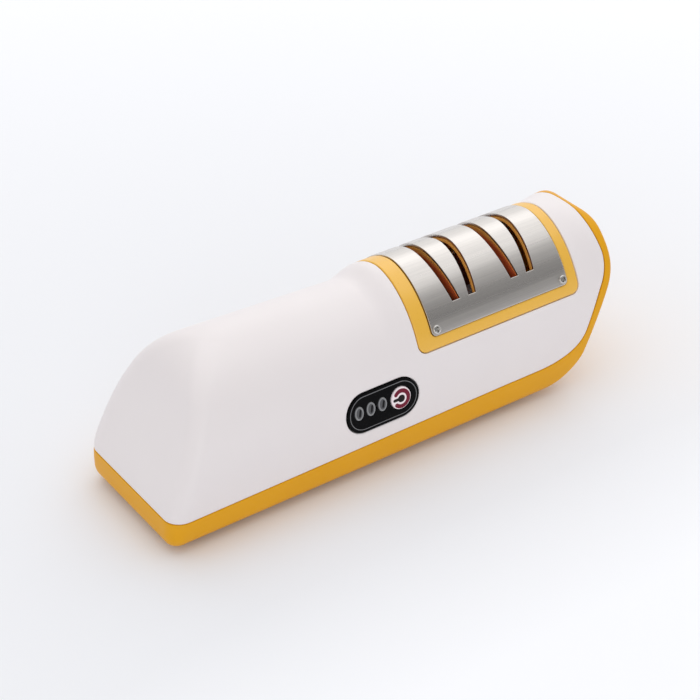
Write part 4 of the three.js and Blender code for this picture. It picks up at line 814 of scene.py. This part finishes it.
# Control panel: a gloss black plate let into the near side, with a printed border line, three
# smoked lenses that show the charge, and the round hole of the push button.
PANEL_PROUD, PANEL_WALL, INK = 0.3, 1.2, 0.02
BUTTON_AT, BUTTON_RADIUS, BUTTON_FIT = (-3.3, 26.4), 3.9, 0.2
LENS_PITCH, LENS_SIZE, LENS_Z, LENS_FIT = 4.594, (3.6, 5.0), 26.8, 0.2
LENS_X = [PANEL_AT[0] - PANEL_SIZE[0] / 2 + LENS_PITCH * (k + 1) for k in range(3)]


def side_grid(inset, x0, x1, z0, z1, step):
    """Surface grid on the near side, in side view."""
    xs = np.linspace(x0, x1, int((x1 - x0) / step) + 1)
    zs = np.linspace(z0, z1, int((z1 - z0) / step) + 1)
    grid = np.empty((len(zs), len(xs), 3))
    grid[..., 0], grid[..., 2] = xs, zs[:, None]
    grid[..., 1] = -side_y(grid[..., 0], grid[..., 2], inset)
    return grid


def in_oval(x, z, centre, size):
    """Positive inside an ellipse, and close to the distance near its edge."""
    return (1 - np.hypot((x - centre[0]) / size[0] * 2, (z - centre[1]) / size[1] * 2)) * min(size) / 2


def keep_panel(p):
    """Positive on the panel: inside its outline, and outside the holes of the button and the lenses."""
    x, z = p[:, 0], p[:, 2]
    holes = [in_round_rect(x, z, PANEL_AT, PANEL_SIZE, PANEL_SIZE[1] / 2),
             np.hypot(x - BUTTON_AT[0], z - BUTTON_AT[1]) - BUTTON_RADIUS - BUTTON_FIT]
    for lens_x in LENS_X:
        holes.append(-in_oval(x, z, (lens_x, LENS_Z), np.array(LENS_SIZE) + LENS_FIT))
    return np.minimum.reduce(holes)


def stroke(path, width, inset, closed=False):
    """A printed stroke of one width along a side-view path, lying on the near side. Its open ends
    are round."""
    path = np.array(path, float)
    half = width / 2
    ahead = np.roll(path, -1, 0) - np.roll(path, 1, 0) if closed else np.gradient(path, axis=0)
    ahead /= np.linalg.norm(ahead, axis=1, keepdims=True)
    halves = np.full(len(path), half)
    if not closed:
        cap = np.linspace(0, math.pi / 2, 9)[:-1]
        lead = path[0] - ahead[0] * half * np.cos(cap)[:, None]
        tail = path[-1] + ahead[-1] * half * np.cos(cap[::-1])[:, None]
        cap_half = np.maximum(half * np.sin(cap), half * 0.05)
        halves = np.concatenate([cap_half, halves, cap_half[::-1]])
        ahead = np.vstack([np.repeat(ahead[:1], len(cap), 0), ahead, np.repeat(ahead[-1:], len(cap), 0)])
        path = np.vstack([lead, path, tail])
    across = np.column_stack([-ahead[:, 1], ahead[:, 0]])
    lanes = np.linspace(-1, 1, 5)
    flat = path[:, None, :] + across[:, None, :] * (halves[:, None] * lanes)[..., None]
    x, z = flat[..., 0], flat[..., 1]
    face, back = (np.stack([x, -side_y(x, z, inset + depth), z], -1) for depth in (0, 0.06))
    rows = np.concatenate([face, back[:, ::-1]], 1)
    if closed:
        return rows.reshape(-1, 3), strip(*rows.shape[:2], closed=True)
    return tube(rows)


def ellipse_path(centre, size, count=64):
    """An elliptical outline in side view."""
    a = np.arange(count) / count * math.tau
    return np.column_stack([centre[0] + size[0] / 2 * np.cos(a), centre[1] + size[1] / 2 * np.sin(a)])


def oval_path(centre, size, count=96):
    """A stadium outline in side view."""
    radius = min(size) / 2
    reach = (size[0] / 2 - radius, size[1] / 2 - radius)
    a = np.arange(count) / count * math.tau
    return np.column_stack([
        centre[0] + radius * np.cos(a) + reach[0] * np.sign(np.cos(a) + 1e-9),
        centre[1] + radius * np.sin(a) + reach[1] * np.sign(np.sin(a) + 1e-9)])


# Gloss black polycarbonate over a printed back: near black, with a weak clear reflection
BLACK_GLOSS = moulded("black_printed_polycarbonate", "#08080A", "#060607", 0.22, grain=0.8, specular=0.05)
# Screen-printed grey ink: matt and even, with the weave of the screen just visible
GREY_INK = moulded("grey_screen_ink", "#77777A", "#6A6A6D", 0.5, grain=0.2)
panel_grid = side_grid(-PANEL_PROUD, -25, 4.6, 18.5, 33.5, 0.4)
piece("panel_face", [skin(panel_grid, keep_panel, edge=0.25, wall=PANEL_WALL)], BLACK_GLOSS,
      replaces=["control_panel"])
line_path = oval_path((PANEL_AT[0], PANEL_AT[1] + 0.2), np.array(PANEL_SIZE) - 2.1, 160)
piece("panel_border_line", [stroke(line_path, 0.24, -PANEL_PROUD - INK, closed=True)], GREY_INK)

# Smoked polycarbonate lens: grey and slightly cloudy, with a pale moulded rim, and in its middle a
# painted shadow: a dark slanting stroke for the shaded hole behind it
SMOKED = moulded("smoked_polycarbonate", "#5C5D60", "#47484B", 0.25, grain=0.6, specular=0.3)
LENS_RIM = moulded("lens_rim_polycarbonate", "#939496", "#7C7D7F", 0.3, grain=0.6, specular=0.3)
PAINTED_LENS_SHADOW = moulded("lens_well_shadow", "#121214", "#0C0C0E", 0.4, grain=0.6, specular=0.1)
for number, lens_x in enumerate(LENS_X, 1):
    lens_at = (lens_x, LENS_Z)
    lens_grid = side_grid(-PANEL_PROUD, lens_x - 2.2, lens_x + 2.2, 23.6, 29.6, 0.22)
    lens = skin(lens_grid, lambda p: in_oval(p[:, 0], p[:, 2], lens_at, LENS_SIZE), edge=0.2, wall=1.6)
    piece(f"lens_{number}", [lens], SMOKED, replaces=[f"indicator_lens_{number}"])
    rim_path = ellipse_path(lens_at, np.array(LENS_SIZE) - 0.8)
    piece(f"lens_rim_{number}", [stroke(rim_path, 0.5, -PANEL_PROUD - INK, closed=True)], LENS_RIM)
    well_shadow_path = [(lens_x + 0.1 + n * 0.03, LENS_Z - 0.9 + n * 0.13) for n in range(15)]
    piece(f"lens_well_{number}", [stroke(well_shadow_path, 0.75, -PANEL_PROUD - INK)], PAINTED_LENS_SHADOW)

# Push button: a white ABS cap that slides in the panel, 0.8 mm in to its switch. Its face carries
# the usual on/off sign in dark red: an open ring with a bar through the gap.
BUTTON_PROUD, BUTTON_FLAT, BUTTON_EDGE = 0.6, BUTTON_RADIUS - 0.5, 0.45
FLANGE_RADIUS, FLANGE_INNER = 5.2, 3
flange_front = -float(side_y(BUTTON_AT[0], BUTTON_AT[1] + FLANGE_RADIUS, WALL + 1.5)) + FIT
flange_back = flange_front + 0.8
# White ABS cap, a little pinker than the housing; pad-printed inks, matt and thin
WHITE_CAP = moulded("white_button_abs", "#FAEEF2", "#F4E7EC", 0.35)
RED_INK = moulded("dark_red_pad_ink", "#7A1030", "#680C27", 0.42, grain=0.25, specular=0.2)
DARK_INK = moulded("dark_centre_pad_ink", "#16060A", "#0F0406", 0.42, grain=0.25, specular=0.2)


def button_rows():
    """Rings of the cap: over its face, which follows the panel, and its round edge, and then round
    the flange that holds it behind the panel."""
    angle = -np.arange(96) / 96 * math.tau
    front = [(r, 0) for r in np.linspace(0, BUTTON_FLAT, 12)]
    front += [(BUTTON_FLAT + BUTTON_EDGE * math.sin(t), BUTTON_EDGE * (1 - math.cos(t)))
              for t in np.linspace(0, math.pi / 2, 8)[1:]]
    flange = [(BUTTON_FLAT + BUTTON_EDGE, flange_front), (FLANGE_RADIUS, flange_front),
              (FLANGE_RADIUS, flange_back), (FLANGE_INNER, flange_back)]
    rows = []
    for r, sink in front:
        x, z = BUTTON_AT[0] + r * np.cos(angle), BUTTON_AT[1] + r * np.sin(angle)
        rows.append(np.stack([x, -side_y(x, z, -BUTTON_PROUD) + sink, z], -1))
    for r, y in flange:
        x, z = BUTTON_AT[0] + r * np.cos(angle), BUTTON_AT[1] + r * np.sin(angle)
        rows.append(np.stack([x, np.full(len(angle), y), z], -1))
    return np.array(rows)


def arc(radius, start, stop, count=60):
    """Points on an arc round the button, with angles in degrees from +X."""
    a = np.radians(np.linspace(start, stop, count))
    return np.column_stack([BUTTON_AT[0] + radius * np.cos(a), BUTTON_AT[1] + radius * np.sin(a)])


piece("button_cap", [round_solid(button_rows())], WHITE_CAP, body="button", replaces=["power_button"])
piece("button_ring_print", [stroke(arc(2.72, -137, 137), 1.4, -BUTTON_PROUD - INK * 2)], RED_INK,
      body="button")
# The bar comes in through the ring's gap and ends in a dark round centre
bar = [(BUTTON_AT[0] - 2.7 + n * 0.15, BUTTON_AT[1]) for n in range(19)]
centre = [(BUTTON_AT[0] + n * 0.02 - 0.1, BUTTON_AT[1]) for n in range(11)]
piece("button_bar_print", [stroke(bar, 1.05, -BUTTON_PROUD - INK * 2),
                           stroke(centre, 2.5, -BUTTON_PROUD - INK * 2.5)],
      DARK_INK, body="button")

# Charging socket: a drawn steel shell with rounded ends in the rear wall of the tray, with its
# contact tongue inside, soldered to its board.
SOCKET_DEPTH, SOCKET_WALL, SOCKET_EDGE, SOCKET_FLOOR = 7.3, 0.35, 0.1, 0.8
TONGUE_SIZE, TONGUE_BEVEL = (6.2, 0.7), (0.2, 0.15)


def socket_ring(shrink, y):
    """The socket's rounded outline, drawn in by a distance, at a depth."""
    size = (SOCKET_SIZE[0] - shrink * 2, SOCKET_SIZE[1] - shrink * 2)
    return np.insert(oval_path(SOCKET_AT, size, 64), 1, y, axis=1)


socket_y1 = tray_half(SOCKET_AT[1]) - FIT
socket_y0 = socket_y1 - SOCKET_DEPTH
piece("socket_shell", [tube(np.array([
    socket_ring(0, socket_y0), socket_ring(0, socket_y1 - SOCKET_EDGE), socket_ring(SOCKET_EDGE, socket_y1),
    socket_ring(SOCKET_WALL - SOCKET_EDGE, socket_y1), socket_ring(SOCKET_WALL, socket_y1 - SOCKET_EDGE),
    socket_ring(SOCKET_WALL, socket_y0 + SOCKET_FLOOR)]))], NICKEL_PLATE, replaces=["charging_socket"])
# Glass-filled nylon: black and matt. The tongue has bevelled edges, so that a plug finds its way
BLACK_NYLON = moulded("black_moulded_nylon", "#232325", "#1B1B1D", 0.55)
wide, thick = TONGUE_SIZE[0] / 2, TONGUE_SIZE[1] / 2
flat_wide, flat_thick = wide - TONGUE_BEVEL[0], thick - TONGUE_BEVEL[1]
tongue_section = np.array([
    (-flat_wide, -thick), (flat_wide, -thick), (wide, -flat_thick), (wide, flat_thick),
    (flat_wide, thick), (-flat_wide, thick), (-wide, flat_thick), (-wide, -flat_thick)]) + SOCKET_AT
piece("socket_tongue", [run_y(tongue_section, socket_y0 + 0.5, socket_y1 - 1.3)], BLACK_NYLON)

# Feet and base screws: moulded rubber pads in shallow recesses, and four self-tapping screws sunk
# in counterbores of the tray, which hold the housing down.
FOOT_EDGE, FOOT_TOP = 0.8, 2.5
SHANK_RADIUS, SHANK_TOP, SHANK_POINT = 1.5, 24.8, 0.6

# Moulded rubber: matt, almost black, with a dusty bloom that greys it
RUBBER = moulded("black_moulded_rubber", "#343436", "#262628", 0.85, grain=0.5, specular=0.3)
foot_flat = FOOT_RADIUS - FOOT_EDGE
foot_profile = [(0, 0), (2.6, 0), (3.4, 0.02)]
foot_profile += [(foot_flat + FOOT_EDGE * math.sin(t), FOOT_EDGE - FOOT_EDGE * math.cos(t))
                 for t in np.linspace(0, math.pi / 2, 7)]
foot_profile += [(FOOT_RADIUS, FOOT_TOP), (NEAR_AXIS, FOOT_TOP)]
for number, (x, y) in enumerate([(x, side * FOOT_Y) for x in FOOT_X for side in (-1, 1)], 1):
    piece(f"foot_pad_{number}", [lathe_z(foot_profile, x, y)], RUBBER, replaces=[f"rubber_foot_{number}"])
shank_profile = [
    (NEAR_AXIS, SCREW_SEAT_Z - 0.6), (SHANK_RADIUS, SCREW_SEAT_Z - 0.6), (SHANK_RADIUS, SHANK_TOP - 1),
    (SHANK_POINT, SHANK_TOP), (NEAR_AXIS, SHANK_TOP)]
for number, (x, y) in enumerate(SCREW_AT, 1):
    head = turned_to(screw_head(SCREW_HEAD, 1.5, 0.8), (x, y, SCREW_SEAT_Z - 0.3), (0, 0, -1), 0.4 * number)
    piece(f"base_screw_body_{number}", [head, lathe_z(shank_profile, x, y, 24)], NICKEL_PLATE,
          replaces=[f"base_screw_{number}"])

# Drive train, cell and boards inside the closed housing: they keep their CAD shapes, each in the
# finish of its own stock.
def plated(name, light, dark, roughness, size):
    """A plated or sintered metal: mottled at the size of its grains, given in mm."""
    material = material_of(name)
    place = add(material, "ShaderNodeTexCoord").outputs["Object"]
    mottle = add(material, "ShaderNodeTexNoise", {"Vector": place, "Scale": 1 / (size * MM), "Detail": 4})
    tone = add(material, "ShaderNodeMix", {0: mottle.outputs["Fac"], 6: colour(dark), 7: colour(light)},
               data_type="RGBA")
    shine = add(material, "ShaderNodeMapRange", {
        "Value": mottle.outputs["Fac"], "To Min": roughness - 0.08, "To Max": roughness + 0.08})
    surface = add(material, "ShaderNodeBsdfPrincipled", {
        "Base Color": tone.outputs[2], "Metallic": 1.0, "Roughness": shine.outputs[0]})
    add(material, "ShaderNodeOutputMaterial", {"Surface": surface.outputs[0]})
    return material


# Zinc-plated steel, cool grey and softly mottled; sintered bronze, porous and oily; nickel strip
ZINC_STEEL = plated("zinc_plated_steel", "#B4B7BA", "#9A9DA0", 0.36, 2.0)
BRONZE = plated("sintered_bronze", "#A37A45", "#7C5A30", 0.5, 0.3)
NICKEL_STRIP = plated("nickel_strip", "#C0BCAF", "#A9A598", 0.32, 1.0)
# Heat-shrink sleeve: thin blue film, drawn tight with faint ripples; clear epoxy over a lead frame
CELL_SLEEVE = moulded("blue_heat_shrink", "#3675AE", "#2B6499", 0.3, grain=2.0)
CLEAR_EPOXY = moulded("clear_led_epoxy", "#E9E9E0", "#DCDCD2", 0.18, grain=0.8)
# Solder mask over woven glass: the weave shows as a faint grid in the green
CIRCUIT_BOARD = moulded("green_solder_mask", "#24613F", "#1B5033", 0.35, grain=0.6)
CAD_FINISHES = {
    ZINC_STEEL: ["drive_shaft", "wheel_spacer", "shaft_nut", "bearing_bracket_left", "bearing_bracket_right",
                 "motor_can", "motor_shaft"],
    BRONZE: ["bush_left", "bush_right"],
    BLACK_NYLON: ["motor_end_cap", "motor_cradle", "shaft_coupling", "tact_switch", "switch_plunger"],
    NICKEL_STRIP: ["motor_strap", "battery_tab_minus", "battery_tab_plus"],
    CELL_SLEEVE: ["battery_cell"],
    CIRCUIT_BOARD: ["control_board", "charging_board"],
    CLEAR_EPOXY: ["led_1", "led_2", "led_3"],
}
for finish, nodes in CAD_FINISHES.items():
    for node in nodes:
        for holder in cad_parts[node].material_slots:
            holder.material = finish

# Floor, surround and lamps: a pale floor that keeps the object's shadow, a white surround with a
# grey card in front, and three soft lamps: a large one overhead, a large one from behind the head end,
# and a small one low in front of the handle end.
FLOOR_HALF = 3000
floor_mesh = bpy.data.meshes.new("floor")
floor_mesh.from_pydata([(x * FLOOR_HALF * MM, y * FLOOR_HALF * MM, 0)
                        for x, y in ((-1, -1), (1, -1), (1, 1), (-1, 1))], [], [(0, 1, 2, 3)])
floor = bpy.data.objects.new("floor", floor_mesh)
bpy.context.scene.collection.objects.link(floor)


def seen_rays(material):
    """1 for what the camera, metal and glass see, and 0 for the light that falls on the object."""
    rays = add(material, "ShaderNodeLightPath").outputs
    seen = rays["Is Camera Ray"]
    for kind in ("Is Glossy Ray", "Is Transmission Ray"):
        seen = add(material, "ShaderNodeMath", {0: seen, 1: rays[kind]}, operation="MAXIMUM").outputs[0]
    return seen


# Matt off-white sheet. It is seen a little whiter from 100 mm off all round, and from 60 mm in front
# of the object's middle, which puts no more light on the object
PALE_FLOOR = material_of("pale_floor")
floor_place = add(PALE_FLOOR, "ShaderNodeTexCoord").outputs["Object"]
away = add(PALE_FLOOR, "ShaderNodeVectorMath", {0: floor_place}, operation="LENGTH")
glow_away = add(PALE_FLOOR, "ShaderNodeMapRange", {
    "Value": away.outputs["Value"], "From Min": 100 * MM, "From Max": 400 * MM, "To Min": 0, "To Max": 0.08})
floor_side = add(PALE_FLOOR, "ShaderNodeSeparateXYZ", {0: floor_place})
glow_front = add(PALE_FLOOR, "ShaderNodeMapRange", {
    "Value": floor_side.outputs["Y"], "From Min": -60 * MM, "From Max": -120 * MM, "To Min": 0,
    "To Max": 0.11})
glow_level = add(PALE_FLOOR, "ShaderNodeMath", {0: glow_away.outputs[0], 1: glow_front.outputs[0]},
                 operation="MAXIMUM")
lift = add(PALE_FLOOR, "ShaderNodeMath", {0: seen_rays(PALE_FLOOR), 1: glow_level.outputs[0]},
           operation="MULTIPLY")
matt = add(PALE_FLOOR, "ShaderNodeBsdfDiffuse", {"Color": colour("#F0F1F5")})
glow = add(PALE_FLOOR, "ShaderNodeEmission", {"Color": (1, 1, 1, 1), "Strength": lift.outputs[0]})
both = add(PALE_FLOOR, "ShaderNodeAddShader", {0: matt.outputs[0], 1: glow.outputs[0]})
add(PALE_FLOOR, "ShaderNodeOutputMaterial", {"Surface": both.outputs[0]})
floor_mesh.materials.append(PALE_FLOOR)

# White surround: white to the camera, and 0.71 as light on the object. Metal sees it at 0.72, and at
# 0.25 on a soft-edged card in front, above the floor, which darkens the lower band of the plate
SKY_LIGHT, SKY_IN_METAL, CARD_IN_METAL = 0.71, 0.72, 0.25
world = bpy.context.scene.world or bpy.data.worlds.new("surround")
bpy.context.scene.world = world
world.use_nodes = True
world.node_tree.nodes.clear()
sky_side = add(world, "ShaderNodeSeparateXYZ", {0: add(world, "ShaderNodeTexCoord").outputs["Generated"]})
card_front = add(world, "ShaderNodeMapRange", {
    "Value": sky_side.outputs["Y"], "From Min": -0.30, "From Max": -0.80}, interpolation_type="SMOOTHSTEP")
card_above = add(world, "ShaderNodeMapRange", {
    "Value": sky_side.outputs["Z"], "From Min": 0.10, "From Max": 0.22}, interpolation_type="SMOOTHSTEP")
card = add(world, "ShaderNodeMath", {0: card_front.outputs[0], 1: card_above.outputs[0]},
           operation="MULTIPLY")
in_metal = add(world, "ShaderNodeMapRange", {
    "Value": card.outputs[0], "To Min": SKY_IN_METAL, "To Max": CARD_IN_METAL})
to_camera = add(world, "ShaderNodeLightPath").outputs["Is Camera Ray"]
shown = add(world, "ShaderNodeMix", {0: to_camera, 2: in_metal.outputs[0], 3: 1.0}, data_type="FLOAT")
level = add(world, "ShaderNodeMix", {0: seen_rays(world), 2: SKY_LIGHT, 3: shown.outputs[0]},
            data_type="FLOAT")
sky = add(world, "ShaderNodeBackground", {"Color": (1, 1, 1, 1), "Strength": level.outputs[0]})
add(world, "ShaderNodeOutputWorld", {"Surface": sky.outputs[0]})


def soft_lamp(name, at, watts, size):
    """A square soft lamp that points at the object."""
    lamp = bpy.data.objects.new(name, bpy.data.lights.new(name, "AREA"))
    bpy.context.scene.collection.objects.link(lamp)
    lamp.data.energy, lamp.data.size = watts, size * MM
    lamp.location = Vector(at) * MM
    lamp.rotation_euler = (Vector(at) - CAMERA_TARGET).to_track_quat("Z", "Y").to_euler()


soft_lamp("lamp_overhead", (240, 170, 860), 3.1, 1350)
soft_lamp("lamp_behind", (560, 800, 640), 2.2, 1250)
soft_lamp("lamp_front", (-560, -760, 360), 0.85, 450)
bpy.context.scene.view_settings.view_transform = "Standard"
